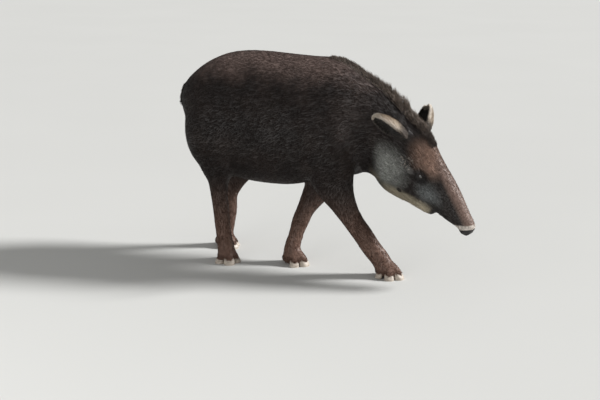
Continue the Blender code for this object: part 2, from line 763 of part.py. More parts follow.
def lock(root, along, out, across, size, lean, tilt, collection):
    """One flat bristly lock that tapers, bends back and is rooted in the flesh."""
    length, width, thick = size
    rings = []
    for share in (0.0, 0.45, 0.8):
        bend = math.radians(lean * (LOCK_CURL[0] + LOCK_CURL[1] * share))
        way = out * math.cos(bend) - along * math.sin(bend)
        side = across * math.sin(math.radians(tilt)) * length * share
        centre = root + way * (length * share - LOCK_SINK * (1 - share)) + side
        half = width / 2 * (1 - 0.62 * share)
        deep = thick / 2 * (1 - 0.60 * share)
        rings.append([centre + along * a * half + across * b * deep for a, b in SQUARE])
    bend = math.radians(lean * LOCK_BEND)
    tip = root + (out * math.cos(bend) - along * math.sin(bend)) * length
    tip += across * math.sin(math.radians(tilt)) * length
    bm = bmesh.new()
    loops = [[bm.verts.new(p) for p in ring] for ring in rings]
    for loop, following in zip(loops, loops[1:]):
        for i in range(4):
            bm.faces.new((loop[i], loop[(i + 1) % 4], following[(i + 1) % 4], following[i]))
    bm.faces.new(loops[0])
    point = bm.verts.new(tip)
    for i in range(4):
        bm.faces.new((loops[-1][i], loops[-1][(i + 1) % 4], point))
    bmesh.ops.recalc_face_normals(bm, faces=bm.faces)
    object_from(bm, "lock", collection)


def plant_mane(name, collection, draw):
    """The mane's core and its rows of locks on one node."""
    start, end, first, last = MANE[name]
    stretch = spaced(head_ridge if name == "head" else ridge, start, end, LOCK_SPACING)
    core = []
    for n, (top, along, out, across) in enumerate(stretch):
        share = n / (len(stretch) - 1)
        longest = LOCK_LENGTH * (first + (last - first) * share)
        high = longest * CORE_SHARE * (0.5 if n in (0, len(stretch) - 1) else 1.0)
        core.append(oval(top + out * high, top - out * LOCK_SINK, CORE_HALF_WIDTH, 0.5, across, 1.6, 2, 8))
        room = LOCK_SPACING * n + LOCK_EDGE_ROOM
        for row in LOCK_ROWS:
            root = top + across * (LOCK_ROW_OFFSET * row) - out * (0.0015 * row * row)
            root += along * (LOCK_SPACING * (0.5 if row % 2 else 0.0) + draw.uniform(-0.003, 0.003))
            length = longest * draw.uniform(0.82, 1.12) * (1.0 - 0.10 * abs(row))
            lean = min(LOCK_LEAN, LOCK_EDGE_LEAN + LOCK_LEAN * n / 3) + draw.uniform(-6, 6)
            length = min(length, room / math.sin(math.radians(lean * LOCK_BEND)))
            size = (length, LOCK_WIDTH * draw.uniform(0.85, 1.15), LOCK_THICKNESS)
            tilt = row * LOCK_FAN + draw.uniform(-6, 6)
            lock(root, along, out, across, size, lean, tilt, collection)
    loft(core, "core", collection)


def spaced(function, start, end, step_of):
    """Ridge points at even distances between two places."""
    count = 400
    places = [start + (end - start) * i / count for i in range(count + 1)]
    made = [function(places[0])]
    walked = 0.0
    before = made[0][0]
    for place in places[1:]:
        here = function(place)
        walked += (here[0] - before).length
        before = here[0]
        if walked >= step_of:
            made.append(here)
            walked = 0.0
    return made


def leg_cut(name, place, collection):
    """A plate square to a leg at a station number."""
    row = row_at(LEGS[name], place)
    step = 0.1
    ahead = Vector(row_at(LEGS[name], place - step)[:3])
    behind = Vector(row_at(LEGS[name], place + step)[:3])
    reach = max(row[3], row[4]) + 0.022
    return slab(Vector(row[:3]), ahead - behind, (reach, reach), collection)


def make_cuts(collection):
    for centre, normal, half_size in CUTS.values():
        slab(Vector(centre), normal, half_size, collection)
    for name, places in LEG_CUT_STATIONS.items():
        for place in places:
            leg_cut(name, place, collection)
    matrix = head_matrix()
    facing = matrix.to_3x3() @ Vector((0.94, 0, 0.34))
    slab(matrix @ Vector((HEAD_CUT_X, 0, -0.11)), facing, (0.205, 0.170), collection)


def islands_of(obj):
    """The closed surfaces of a mesh, each as its own set of vertex numbers."""
    mesh = obj.data
    links = [[] for _ in mesh.vertices]
    for edge in mesh.edges:
        a, b = edge.vertices
        links[a].append(b)
        links[b].append(a)
    seen = np.zeros(len(mesh.vertices), bool)
    found = []
    for start in range(len(mesh.vertices)):
        if seen[start]:
            continue
        seen[start] = True
        island = [start]
        for vertex in island:
            for other in links[vertex]:
                if not seen[other]:
                    seen[other] = True
                    island.append(other)
        found.append(island)
    return found


def part_flesh(flesh, collection):
    """Makes one object of each closed piece of the flesh, named after the nearest listed part."""
    places = np.array([v.co for v in flesh.data.vertices])
    best = {}
    for island in islands_of(flesh):
        spots = places[island]
        size = float(np.prod(spots.max(axis=0) - spots.min(axis=0)))
        middle = (spots.max(axis=0) + spots.min(axis=0)) / 2
        name = min(FLESH_PARTS, key=lambda n: np.linalg.norm(middle - FLESH_PARTS[n][0]))
        if size > best.get(name, (0,))[0]:
            best[name] = (size, set(island))
    parts = {}
    for name, (_, island) in best.items():
        obj = copy_of(flesh, name, collection)
        bm = bmesh.new()
        bm.from_mesh(obj.data)
        bm.verts.ensure_lookup_table()
        spare = [v for v in bm.verts if v.index not in island]
        bmesh.ops.delete(bm, geom=spare, context="VERTS")
        bm.to_mesh(obj.data)
        bm.free()
        parts[name] = obj
    return parts


def copy_of(obj, name, collection):
    copy = bpy.data.objects.new(name, obj.data.copy())
    collection.objects.link(copy)
    return copy


def paint(obj, slot):
    obj.data.materials.clear()
    obj.data.materials.append(finish(slot))


def centre_on_ground(collection):
    """Moves every mesh so that the origin is under the middle of the animal's box."""
    low = np.full(3, 1e9)
    high = -low
    for obj in collection.objects:
        spots = np.array([v.co for v in obj.data.vertices])
        low = np.minimum(low, spots.min(axis=0))
        high = np.maximum(high, spots.max(axis=0))
    shift = Matrix.Translation((-(low[0] + high[0]) / 2, -(low[1] + high[1]) / 2, -low[2]))
    for obj in collection.objects:
        obj.data.transform(shift)
    print("moved by", [round(x, 4) for x in shift.translation])


def main():
    clear_scene()
    tapir = new_collection("lowland_tapir")
    shapes = new_collection("shapes")
    cutters = new_collection(CUTTERS)
    draw = random.Random(MANE_SEED)

    flesh = make_flesh(shapes)
    shapes.objects.unlink(flesh)
    tapir.objects.link(flesh)
    make_lids(shapes)
    join_collection(flesh, shapes)

    fitted = [make_eye(side, tapir) for side in (-1, 1)]
    fitted += [make_ear(name, tapir) for name in EARS]
    tail = make_tube("tail", [(x, 0.0, z, deep, wide) for x, z, deep, wide in TAIL], tapir, 10, 2)
    fitted.append(tail)
    hooves = [make_hoof(name, *toe, tapir) for name in FEET for toe in toes_of(name)]
    floor = floor_block(cutters, 0.0)
    for hoof in hooves:
        combine(hoof, floor, "DIFFERENCE")
    for obj in fitted + hooves:
        swollen(obj, GAP, cutters)
    make_lid_cutters(cutters)
    make_nostril_cutters(cutters)
    make_mouth_cutter(cutters)
    make_cuts(cutters)
    join_collection(flesh, cutters, "DIFFERENCE")
    parts = part_flesh(flesh, tapir)
    bpy.data.objects.remove(flesh, do_unlink=True)

    for name in MANE:
        plant_mane(name, shapes, draw)
        join_collection(parts[name], shapes, solver="MANIFOLD")

    for name, obj in parts.items():
        keep_largest(obj)
        paint(obj, FLESH_PARTS[name][1])
    for obj in fitted:
        paint(obj, {"eye": "eye_wet", "ear": "ear_skin"}.get(obj.name[:3], "coat"))
    for obj in hooves:
        keep_largest(obj)
        paint(obj, "hoof_horn")
    centre_on_ground(tapir)
    for collection in (shapes, cutters):
        bpy.data.collections.remove(collection)


main()
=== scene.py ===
# %% [markdown]
# # A lowland tapir, life size
#
# This lesson dresses a solid model of a walking tapir as a museum model: one skin over the
# flesh, a coat of small tufts over the skin, and finer ears, eyes and hooves. The solid model is
# the frame. It has the real size and the place of every part, and nothing here changes it.

import json
import math

import bmesh
import bpy
import numpy as np
from mathutils import Matrix, Vector
from mathutils.bvhtree import BVHTree

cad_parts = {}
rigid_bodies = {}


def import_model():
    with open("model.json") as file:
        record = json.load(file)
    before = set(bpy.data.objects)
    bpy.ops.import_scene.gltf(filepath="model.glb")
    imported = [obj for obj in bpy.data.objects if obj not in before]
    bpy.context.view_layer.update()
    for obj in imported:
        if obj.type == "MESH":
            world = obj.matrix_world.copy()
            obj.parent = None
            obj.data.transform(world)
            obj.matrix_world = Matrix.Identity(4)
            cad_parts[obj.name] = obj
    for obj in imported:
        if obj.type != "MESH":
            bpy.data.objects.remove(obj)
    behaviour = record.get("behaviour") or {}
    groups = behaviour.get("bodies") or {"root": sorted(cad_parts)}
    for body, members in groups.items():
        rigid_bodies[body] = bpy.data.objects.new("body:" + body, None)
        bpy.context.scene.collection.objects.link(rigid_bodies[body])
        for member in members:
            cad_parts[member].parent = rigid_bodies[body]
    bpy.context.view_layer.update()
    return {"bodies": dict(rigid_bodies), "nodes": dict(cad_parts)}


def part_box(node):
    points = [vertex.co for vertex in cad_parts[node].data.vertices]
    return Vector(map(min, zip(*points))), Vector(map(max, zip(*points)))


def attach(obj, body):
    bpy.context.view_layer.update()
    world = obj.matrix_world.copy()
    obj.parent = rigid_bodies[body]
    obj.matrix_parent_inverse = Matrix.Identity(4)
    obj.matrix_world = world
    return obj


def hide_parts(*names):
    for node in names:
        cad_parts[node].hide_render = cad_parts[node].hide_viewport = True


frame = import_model()
BODY = next(iter(frame["bodies"]))

# %% [markdown]
# ## The camera and the light
#
# The photo was taken from the animal's right side, a little from the front and from a standing
# person's eye height. A camera can be placed by eye, or worked out from the heights of
# the feet and the back in the picture. It was worked out, because the feet on the ground then
# fall in the right places too. The light is a broad soft sun from the right, where it stood low,
# with a weak lamp beside the camera so that the dark side keeps its form and the eye its glint.

# %% Camera
PHOTO_WIDTH = 600
SENSOR = 36.0
FOCAL_PIXELS = 1100
CAMERA_PLACE = Vector((1.266, -4.833, 1.600))
CAMERA_HEADING = Vector((-0.2756, 0.9613, 0.0))
CAMERA_DOWN = math.radians(14.52)
CAMERA_ROLL = math.radians(1.0)


def camera_turn():
    """The camera's right, up and backward directions as the columns of a matrix."""
    ahead = CAMERA_HEADING.normalized() * math.cos(CAMERA_DOWN)
    ahead.z = -math.sin(CAMERA_DOWN)
    level_right = ahead.cross(Vector((0, 0, 1))).normalized()
    level_up = level_right.cross(ahead)
    right = level_right * math.cos(CAMERA_ROLL) + level_up * math.sin(CAMERA_ROLL)
    return Matrix((right, right.cross(ahead), -ahead)).transposed()


camera_data = bpy.data.cameras.new("camera")
camera_data.sensor_width = SENSOR
camera_data.lens = FOCAL_PIXELS / PHOTO_WIDTH * SENSOR
camera = bpy.data.objects.new("camera", camera_data)
camera.matrix_world = Matrix.Translation(CAMERA_PLACE) @ camera_turn().to_4x4()
bpy.context.scene.collection.objects.link(camera)
bpy.context.scene.camera = camera
print("lens:", round(camera_data.lens, 1), "mm")

# %% Lights and surroundings
FLOOR_SIZE = 60.0
SUN_PLACE = (3.95, 1.76, 3.2)
SUN_STRENGTH = 4.6
SUN_WIDTH = math.radians(12)
WORLD_COLOUR = (0.93, 0.93, 0.92, 1)
WORLD_STRENGTH = 0.36
FILL_PLACE = (-1.2, -4.4, 1.2)
FILL_POWER = 40
FILL_WIDTH = 2.2
LIT_POINT = Vector((0, 0, 0.5))
scene = bpy.context.scene
scene.view_settings.view_transform = "Standard"


def lamp(name, kind, place):
    """A lamp that faces the middle of the animal."""
    data = bpy.data.lights.new(name, kind)
    obj = bpy.data.objects.new(name, data)
    obj.location = place
    aim = LIT_POINT - Vector(place)
    obj.rotation_euler = aim.to_track_quat("-Z", "Y").to_euler()
    scene.collection.objects.link(obj)
    return data


sun = lamp("sun", "SUN", SUN_PLACE)
sun.energy = SUN_STRENGTH
sun.angle = SUN_WIDTH
fill = lamp("fill", "AREA", FILL_PLACE)
fill.energy = FILL_POWER
fill.size = FILL_WIDTH

world = bpy.data.worlds.new("studio")
world.use_nodes = True
sky = world.node_tree.nodes["Background"].inputs
sky["Color"].default_value = WORLD_COLOUR
sky["Strength"].default_value = WORLD_STRENGTH
scene.world = world
print("sun:", SUN_STRENGTH, "fill:", FILL_POWER, "W")

# %% [markdown]
# ## Materials from expressions
#
# A pattern in Blender is a graph of nodes. Built by hand it soon needs hundreds of lines, so a
# small class wraps a socket and lets Python's own operators add the Math nodes. The graph stays
# readable as formulas.

# %% Numbers in a graph


class Value:
    """A number in a node graph. Sums and products of values add Math nodes."""

    def __init__(self, paint, socket):
        self.paint = paint
        self.socket = socket

    def math(self, operation, *others):
        return self.paint.node("ShaderNodeMath", {"operation": operation}, self, *others)

    def __add__(self, other):
        return self.math("ADD", other)

    def __radd__(self, other):
        return self.math("ADD", other)

    def __mul__(self, other):
        return self.math("MULTIPLY", other)

    def __rmul__(self, other):
        return self.math("MULTIPLY", other)

    def __sub__(self, other):
        return self.math("SUBTRACT", other)

    def __rsub__(self, other):
        return self.math("MULTIPLY", -1.0).math("ADD", other)

    def larger(self, other):
        return self.math("MAXIMUM", other)

    def smaller(self, other):
        return self.math("MINIMUM", other)

    def ramp(self, low, high):
        """0 below the first number, 1 above the second, and a soft step between them."""
        settings = {"interpolation_type": "SMOOTHSTEP"}
        return self.paint.node("ShaderNodeMapRange", settings, self, low, high, 0.0, 1.0)

# %% [markdown]
# The second class is one material. It starts from the place on the object, adds any kind of node
# through one method, and ends at the sockets of the shader. Constants are set on the shader's own
# sockets, because an export can lose a number that comes through a link.

# %% One material's graph


class Paint:
    """One material's node graph, with a place on the object as its starting point."""

    def __init__(self, name, roughness, **constants):
        self.material = bpy.data.materials.new(name)
        self.material.use_nodes = True
        self.nodes = self.material.node_tree.nodes
        self.links = self.material.node_tree.links
        self.shader = self.nodes["Principled BSDF"]
        self.shader.inputs["Roughness"].default_value = roughness
        for socket, number in constants.items():
            self.shader.inputs[socket.replace("_", " ")].default_value = number
        self.place = self.node("ShaderNodeTexCoord", {}, output="Object")

    def set_input(self, socket, value):
        if isinstance(value, Value):
            self.links.new(value.socket, socket)
        elif hasattr(value, "__len__") and len(value) == 3 and len(socket.default_value) == 4:
            socket.default_value = (*value, 1.0)
        else:
            socket.default_value = value

    def node(self, kind, settings, *inputs, output=0, **named):
        """A node: its settings, then its sockets' values in order or by name. Gives one output."""
        made = self.nodes.new(kind)
        for key, setting in settings.items():
            setattr(made, key, setting)
        for socket, value in zip(made.inputs, inputs):
            self.set_input(socket, value)
        for key, value in named.items():
            self.set_input(made.inputs[key], value)
        return Value(self, made.outputs[output])

    def vector(self, operation, *inputs, output=0):
        return self.node("ShaderNodeVectorMath", {"operation": operation}, *inputs, output=output)

    def mix(self, share, first, second):
        """A colour between two, by a share from 0 to 1."""
        made = self.node("ShaderNodeMix", {"data_type": "RGBA"}, output=2)
        for number, value in ((0, share), (6, first), (7, second)):
            self.set_input(made.socket.node.inputs[number], value)
        return made

    def parts(self):
        """The place's x, y and z as three numbers."""
        outputs = self.node("ShaderNodeSeparateXYZ", {}, self.place).socket.node.outputs
        return [Value(self, socket) for socket in outputs]

    def noise(self, scale, detail=2.0, place=None, stretch=(1, 1, 1)):
        """Clouds from 0 to 1, finer for a larger scale, drawn out along the smaller stretches."""
        spot = self.vector("MULTIPLY", place or self.place, stretch)
        return self.node("ShaderNodeTexNoise", {}, Vector=spot, Scale=scale, Detail=detail)

    def attribute(self, name):
        return self.node("ShaderNodeAttribute", {"attribute_name": name}, output="Fac")

    def blob(self, centre, radii, soft=0.5, place=None):
        """1 inside an ellipsoid, 0 outside it, with a soft edge."""
        away = self.vector("SUBTRACT", place or self.place, centre)
        scaled = self.vector("DIVIDE", away, radii)
        far = self.vector("LENGTH", scaled, output="Value")
        return 1 - far.ramp(1 - soft, 1 + soft)

    def relief(self, height, strength, distance):
        """Bumps from a height, given to the shader's normal."""
        bump = self.node("ShaderNodeBump", {}, Strength=strength, Distance=distance, Height=height)
        self.feed("Normal", bump)

    def feed(self, socket, value):
        self.set_input(self.shader.inputs[socket], value)


def wear(obj, paint):
    """Gives an object its one material."""
    obj.data.materials.clear()
    obj.data.materials.append(paint.material)

# %% [markdown]
# ## The floor
#
# The floor is one large plain sheet, so that no edge of it comes into view.

# %% Floor
FLOOR_COLOURS = ((0.62, 0.62, 0.60), (0.65, 0.65, 0.63))
floor_mesh = bmesh.new()
bmesh.ops.create_grid(floor_mesh, x_segments=1, y_segments=1, size=FLOOR_SIZE / 2)
floor_data = bpy.data.meshes.new("floor")
floor_mesh.to_mesh(floor_data)
floor_mesh.free()
floor = bpy.data.objects.new("floor", floor_data)
scene.collection.objects.link(floor)

plaster = Paint("floor_plaster", 0.9)
plaster.feed("Base Color", plaster.mix(plaster.noise(0.7), *FLOOR_COLOURS))
wear(floor, plaster)
print("floor:", FLOOR_SIZE, "m")

# %% [markdown]
# ## The plan of the body
#
# The skin could be copied from the solids, but those end in cuts and carry coarse locks of mane.
# So the body is drawn again from the plan that made the solids: one cross section at each
# station, in metres, with the head in a frame of its own. The plan was drawn about the shoulders
# and the solids were then centred, so the shift between both is read from the frame's right eye.

# %% Torso and neck
# top x, top z, bottom x, bottom z, half width, belt (height of the widest place, as a share),
# shift to the left, turn to the left, roundness of the upper half and of the lower half
TRUNK = (
    (-0.492, 0.790, -0.492, 0.730, 0.045, 0.50, 0.000, 0, 2.0, 2.0),
    (-0.470, 0.846, -0.462, 0.660, 0.120, 0.50, 0.000, 0, 2.0, 2.0),
    (-0.430, 0.889, -0.415, 0.590, 0.176, 0.48, 0.000, 0, 2.1, 2.0),
    (-0.362, 0.940, -0.345, 0.490, 0.220, 0.46, 0.000, 0, 2.1, 2.0),
    (-0.270, 0.980, -0.260, 0.410, 0.240, 0.45, 0.000, 0, 2.0, 2.1),
    (-0.170, 0.996, -0.165, 0.382, 0.250, 0.43, 0.000, 0, 1.9, 2.1),
    (-0.050, 0.995, -0.050, 0.374, 0.262, 0.42, 0.000, 0, 1.9, 2.1),
    (0.060, 0.988, 0.060, 0.378, 0.264, 0.42, 0.000, 0, 1.9, 2.1),
    (0.160, 0.985, 0.165, 0.402, 0.252, 0.43, 0.000, 0, 1.8, 2.1),
    (0.245, 0.984, 0.265, 0.424, 0.232, 0.45, 0.000, 0, 1.7, 2.0),
    (0.315, 0.958, 0.345, 0.441, 0.205, 0.47, 0.000, -1, 1.7, 2.0),
    (0.385, 0.914, 0.385, 0.453, 0.174, 0.50, -0.003, -4, 1.7, 2.0),
    (0.455, 0.872, 0.404, 0.463, 0.152, 0.52, -0.010, -8, 1.7, 2.0),
    (0.520, 0.824, 0.420, 0.463, 0.136, 0.52, -0.018, -12, 1.7, 2.0),
    (0.580, 0.770, 0.440, 0.456, 0.124, 0.52, -0.026, -16, 1.7, 2.0),
    (0.640, 0.700, 0.470, 0.443, 0.112, 0.52, -0.036, -19, 1.8, 2.0),
    (0.670, 0.640, 0.500, 0.430, 0.090, 0.52, -0.044, -19, 1.9, 2.0),
)
# Muscle masses under the skin: centre and radii
MUSCLES = {
    "shoulder_right": ((0.250, -0.155, 0.610), (0.108, 0.092, 0.205)),
    "shoulder_left": ((0.238, 0.155, 0.610), (0.108, 0.092, 0.205)),
    "haunch_right": ((-0.282, -0.132, 0.640), (0.160, 0.122, 0.215)),
    "haunch_left": ((-0.282, 0.132, 0.640), (0.160, 0.122, 0.215)),
}
# Tail: centre x, z, half depth and half width
TAIL = (
    (-0.440, 0.838, 0.026, 0.034),
    (-0.470, 0.818, 0.027, 0.032),
    (-0.494, 0.786, 0.024, 0.026),
    (-0.505, 0.748, 0.019, 0.020),
    (-0.505, 0.712, 0.013, 0.014),
    (-0.502, 0.696, 0.006, 0.007),
)
print("trunk length:", round(TRUNK[-1][0] - TRUNK[0][0], 3))

# %% Head
HEAD_PLACE = (0.610, -0.030, 0.670)
HEAD_TURN = -19.0
HEAD_PITCH = 47.0
# x, top, bottom, half width, belt, roundness of the upper half and of the lower half
SKULL = (
    (-0.070, 0.046, -0.190, 0.070, 0.50, 1.8, 2.0),
    (-0.030, 0.055, -0.238, 0.092, 0.50, 1.7, 2.0),
    (0.020, 0.066, -0.270, 0.103, 0.50, 1.6, 2.0),
    (0.070, 0.066, -0.292, 0.105, 0.50, 1.6, 2.0),
    (0.120, 0.058, -0.290, 0.099, 0.51, 1.7, 2.0),
    (0.170, 0.044, -0.268, 0.090, 0.53, 1.8, 1.9),
    (0.220, 0.035, -0.238, 0.079, 0.56, 2.0, 1.9),
    (0.270, 0.030, -0.196, 0.068, 0.58, 2.1, 1.9),
    (0.320, 0.023, -0.144, 0.058, 0.58, 2.2, 2.0),
    (0.365, 0.016, -0.128, 0.050, 0.55, 2.2, 2.2),
    (0.405, 0.008, -0.116, 0.045, 0.50, 2.2, 2.3),
    (0.445, -0.003, -0.098, 0.042, 0.50, 2.2, 2.3),
    (0.480, -0.010, -0.085, 0.040, 0.50, 2.2, 2.3),
    (0.508, -0.017, -0.086, 0.036, 0.50, 2.1, 2.2),
    (0.522, -0.032, -0.080, 0.024, 0.50, 2.0, 2.0),
)
# The lower jaw, which ends in the chin behind the snout
JAW = (
    (0.120, -0.110, -0.262, 0.070, 0.50, 2.0, 2.0),
    (0.180, -0.110, -0.246, 0.062, 0.50, 2.0, 2.0),
    (0.240, -0.112, -0.222, 0.052, 0.50, 2.0, 2.0),
    (0.290, -0.118, -0.198, 0.043, 0.50, 2.0, 2.0),
    (0.330, -0.124, -0.178, 0.034, 0.50, 2.0, 2.0),
    (0.352, -0.132, -0.164, 0.018, 0.50, 2.0, 2.0),
)
# Swellings on each side of the head: centre x, y to the side, z, and the three radii
HEAD_SWELLINGS = {
    "cheek": ((0.080, 0.048, -0.165), (0.115, 0.056, 0.090)),
    "brow": ((0.180, 0.041, -0.022), (0.075, 0.040, 0.036)),
    "ear_root": ((0.004, 0.076, -0.004), (0.038, 0.030, 0.038)),
    "nostril_wing": ((0.494, 0.020, -0.058), (0.026, 0.022, 0.030)),
}
print("head length:", round(SKULL[-1][0] - SKULL[0][0], 3))

# %% Legs
# Centre x, y, z, half depth from front to back, and half width of each station
LEGS = {
    "foreleg_right": (
        (0.250, -0.120, 0.620, 0.120, 0.085),
        (0.262, -0.136, 0.500, 0.116, 0.080),
        (0.283, -0.138, 0.420, 0.098, 0.070),
        (0.322, -0.132, 0.340, 0.067, 0.056),
        (0.371, -0.124, 0.255, 0.049, 0.047),
        (0.419, -0.116, 0.188, 0.048, 0.043),
        (0.458, -0.109, 0.132, 0.046, 0.042),
        (0.494, -0.104, 0.088, 0.045, 0.044),
        (0.518, -0.101, 0.050, 0.044, 0.046),
    ),
    "foreleg_left": (
        (0.250, 0.120, 0.620, 0.120, 0.085),
        (0.232, 0.118, 0.500, 0.108, 0.076),
        (0.190, 0.098, 0.420, 0.097, 0.066),
        (0.149, 0.062, 0.340, 0.071, 0.055),
        (0.108, 0.022, 0.255, 0.046, 0.045),
        (0.090, -0.006, 0.200, 0.043, 0.042),
        (0.075, -0.028, 0.140, 0.037, 0.038),
        (0.064, -0.042, 0.090, 0.038, 0.041),
        (0.060, -0.049, 0.050, 0.042, 0.046),
    ),
    "hindleg_right": (
        (-0.270, -0.110, 0.650, 0.160, 0.095),
        (-0.276, -0.138, 0.540, 0.128, 0.082),
        (-0.280, -0.143, 0.460, 0.086, 0.066),
        (-0.276, -0.136, 0.400, 0.057, 0.052),
        (-0.277, -0.128, 0.345, 0.047, 0.043),
        (-0.271, -0.121, 0.270, 0.041, 0.038),
        (-0.264, -0.116, 0.190, 0.040, 0.036),
        (-0.257, -0.112, 0.120, 0.038, 0.038),
        (-0.251, -0.110, 0.080, 0.041, 0.042),
        (-0.246, -0.110, 0.050, 0.043, 0.045),
    ),
    "hindleg_left": (
        (-0.270, 0.110, 0.650, 0.160, 0.095),
        (-0.272, 0.138, 0.540, 0.130, 0.082),
        (-0.262, 0.144, 0.460, 0.110, 0.066),
        (-0.272, 0.140, 0.400, 0.092, 0.054),
        (-0.294, 0.134, 0.345, 0.068, 0.045),
        (-0.318, 0.128, 0.270, 0.048, 0.039),
        (-0.317, 0.123, 0.190, 0.043, 0.037),
        (-0.325, 0.120, 0.120, 0.040, 0.039),
        (-0.333, 0.119, 0.080, 0.041, 0.042),
        (-0.338, 0.118, 0.050, 0.043, 0.045),
    ),
}
print("legs:", {name: len(rows) for name, rows in LEGS.items()}, "stations")

# %% Feet
# The ground point under each ankle, the way the toes point, and the side of the body
FEET = {
    "forefoot_right": ((0.524, -0.100), -16.0, -1),
    "forefoot_left": ((0.062, -0.050), -18.0, 1),
    "hindfoot_right": ((-0.246, -0.108), -60.0, -1),
    "hindfoot_left": ((-0.341, 0.118), -30.0, 1),
}
ANKLE_HEIGHT = 0.052
PAD_CENTRE = (-0.004, 0, 0.026)
PAD_RADII = (0.046, 0.045, 0.032)
# Where a toe starts ahead of the ankle, how high it arches, its thickness there and what it loses
TOE_ROOT = 0.008
TOE_ARCH = 0.010
TOE_SWELL = 1.10
TOE_LOSS = 0.12
TOE_SHARES = (0, 0.25, 0.5, 0.75, 1)
# Toes: name, angle from the foot's own direction towards the outer side, reach, radius, lift
FORE_TOES = (
    ("inner", -44.0, 0.054, 0.0210, 0.000),
    ("middle", 0.0, 0.064, 0.0245, 0.000),
    ("outer", 44.0, 0.054, 0.0210, 0.000),
    ("last", 98.0, 0.045, 0.0155, 0.006),
)
HIND_TOES = (
    ("inner", -44.0, 0.052, 0.0210, 0.000),
    ("middle", 0.0, 0.063, 0.0250, 0.000),
    ("outer", 44.0, 0.052, 0.0210, 0.000),
)
print("toes:", 2 * len(FORE_TOES) + 2 * len(HIND_TOES))

# %% Eyes, and the shift from the plan to the frame
EYE_PLACE = (0.192, 0.0700, -0.054)
EYE_LOOK = (0.25, 0.95, 0.12)
LID_TILT = math.radians(-14.0)


def drawn_head():
    """The head's frame in the plan: x towards the snout, z out of the forehead."""
    turn = Matrix.Rotation(math.radians(HEAD_TURN), 4, "Z")
    pitch = Matrix.Rotation(math.radians(HEAD_PITCH), 4, "Y")
    return Matrix.Translation(HEAD_PLACE) @ turn @ pitch


low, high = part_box("eye_right")
EYE_RADIUS = (high.z - low.z) / 2
drawn_eye = drawn_head() @ Vector((EYE_PLACE[0], -EYE_PLACE[1], EYE_PLACE[2]))
SHIFT = (low + high) / 2 - drawn_eye
SHIFT.z = 0.0
HEAD = Matrix.Translation(SHIFT) @ drawn_head()
HEAD_INVERSE = np.array(HEAD.inverted())
print("shift:", [round(x, 4) for x in SHIFT], "eye radius:", round(EYE_RADIUS, 4))

# %% [markdown]
# ## The flesh
#
# A soft body like this could be sculpted, or grown from metaballs. Here it is lofted: a circle for
# each station is pressed to that station's section, and neighbours are bridged. Muscles and toes
# are spheres. A voxel remesh then makes one closed surface of all of them, and smoothing melts
# their joins, strongly on the body and lightly on the face and the feet.

# %% Sections on a curve


def row_at(table, place):
    """The row at a fractional row number, by a curve that passes through every row."""
    table = np.asarray(table, float)
    last = len(table) - 1
    k = min(int(place), last - 1)
    t = place - k
    before, here, there, after = (table[min(max(k + i, 0), last)] for i in (-1, 0, 1, 2))
    slope_here = (there - before) / 2
    slope_there = (after - here) / 2
    rise = 3 * t * t - 2 * t**3
    return (
        (1 - rise) * here
        + rise * there
        + (t**3 - 2 * t * t + t) * slope_here
        + (t**3 - t * t) * slope_there
    )


def rows_along(table, steps):
    return [row_at(table, i / steps) for i in range((len(table) - 1) * steps + 1)]

# %% One section


def oval(top, bottom, half_width, belt, across, round_up, round_low):
    """A function from an angle to a point of the section between a top and a bottom point."""
    middle = bottom.lerp(top, belt)

    def point(angle):
        c, s = math.cos(angle), math.sin(angle)
        power = 2 / (round_up if s >= 0 else round_low)
        sideways = math.copysign(abs(c) ** power, c) * half_width
        height = math.copysign(abs(s) ** power, s)
        return middle + across * sideways + (top - middle if s >= 0 else middle - bottom) * height

    return point

# %% Lofts and balls


def add_body(whole, bm):
    """Puts a finished body into a larger bmesh. Building each alone is much faster."""
    mesh = bpy.data.meshes.new("body")
    bm.to_mesh(mesh)
    bm.free()
    whole.from_mesh(mesh)
    bpy.data.meshes.remove(mesh)


def loft(whole, sections, sides):
    """Bridges circles that were pressed to a row of sections, and closes both ends."""
    bm = bmesh.new()
    loops = []
    for number, section in enumerate(sections):
        capped = number in (0, len(sections) - 1)
        ring = bmesh.ops.create_circle(bm, cap_ends=capped, segments=sides, radius=1)["verts"]
        for i, vertex in enumerate(ring):
            vertex.co = section(2 * math.pi * i / sides)
        loops.append(list({e for v in ring for e in v.link_edges}))
    for first, second in zip(loops, loops[1:]):
        bmesh.ops.bridge_loops(bm, edges=first + second)
    bmesh.ops.recalc_face_normals(bm, faces=bm.faces)
    add_body(whole, bm)


def ball(whole, centre, radii, matrix=None, segments=24, rings=16):
    """An ellipsoid, placed by a matrix if one is given."""
    bm = bmesh.new()
    place = (matrix or Matrix.Translation(SHIFT)) @ Matrix.Translation(centre)
    place = place @ Matrix.Diagonal((*radii, 1.0))
    bmesh.ops.create_uvsphere(
        bm, u_segments=segments, v_segments=rings, radius=1.0, matrix=place
    )
    add_body(whole, bm)


def object_of(bm, name):
    """A scene object of a finished bmesh, with its faces pointing out."""
    bmesh.ops.recalc_face_normals(bm, faces=bm.faces)
    mesh = bpy.data.meshes.new(name)
    bm.to_mesh(mesh)
    bm.free()
    obj = bpy.data.objects.new(name, mesh)
    scene.collection.objects.link(obj)
    return obj

# %% Rings of the trunk, the head and the limbs
SIDES = 40
STEPS = 5
FLESH_VOXEL = 0.0085
TAIL_SIDES = 16


def trunk_section(place):
    """Top and bottom point, sideways direction and row of the trunk at a station number."""
    row = row_at(TRUNK, place)
    turn = math.radians(row[7])
    across = Vector((-math.sin(turn), math.cos(turn), 0.0))
    top = Vector((row[0], row[6], row[1])) + SHIFT
    bottom = Vector((row[2], row[6], row[3])) + SHIFT
    return top, bottom, across, row


def trunk_ring(place):
    """The trunk's section at a station number."""
    top, bottom, across, row = trunk_section(place)
    return oval(top, bottom, row[4], row[5], across, row[8], row[9])


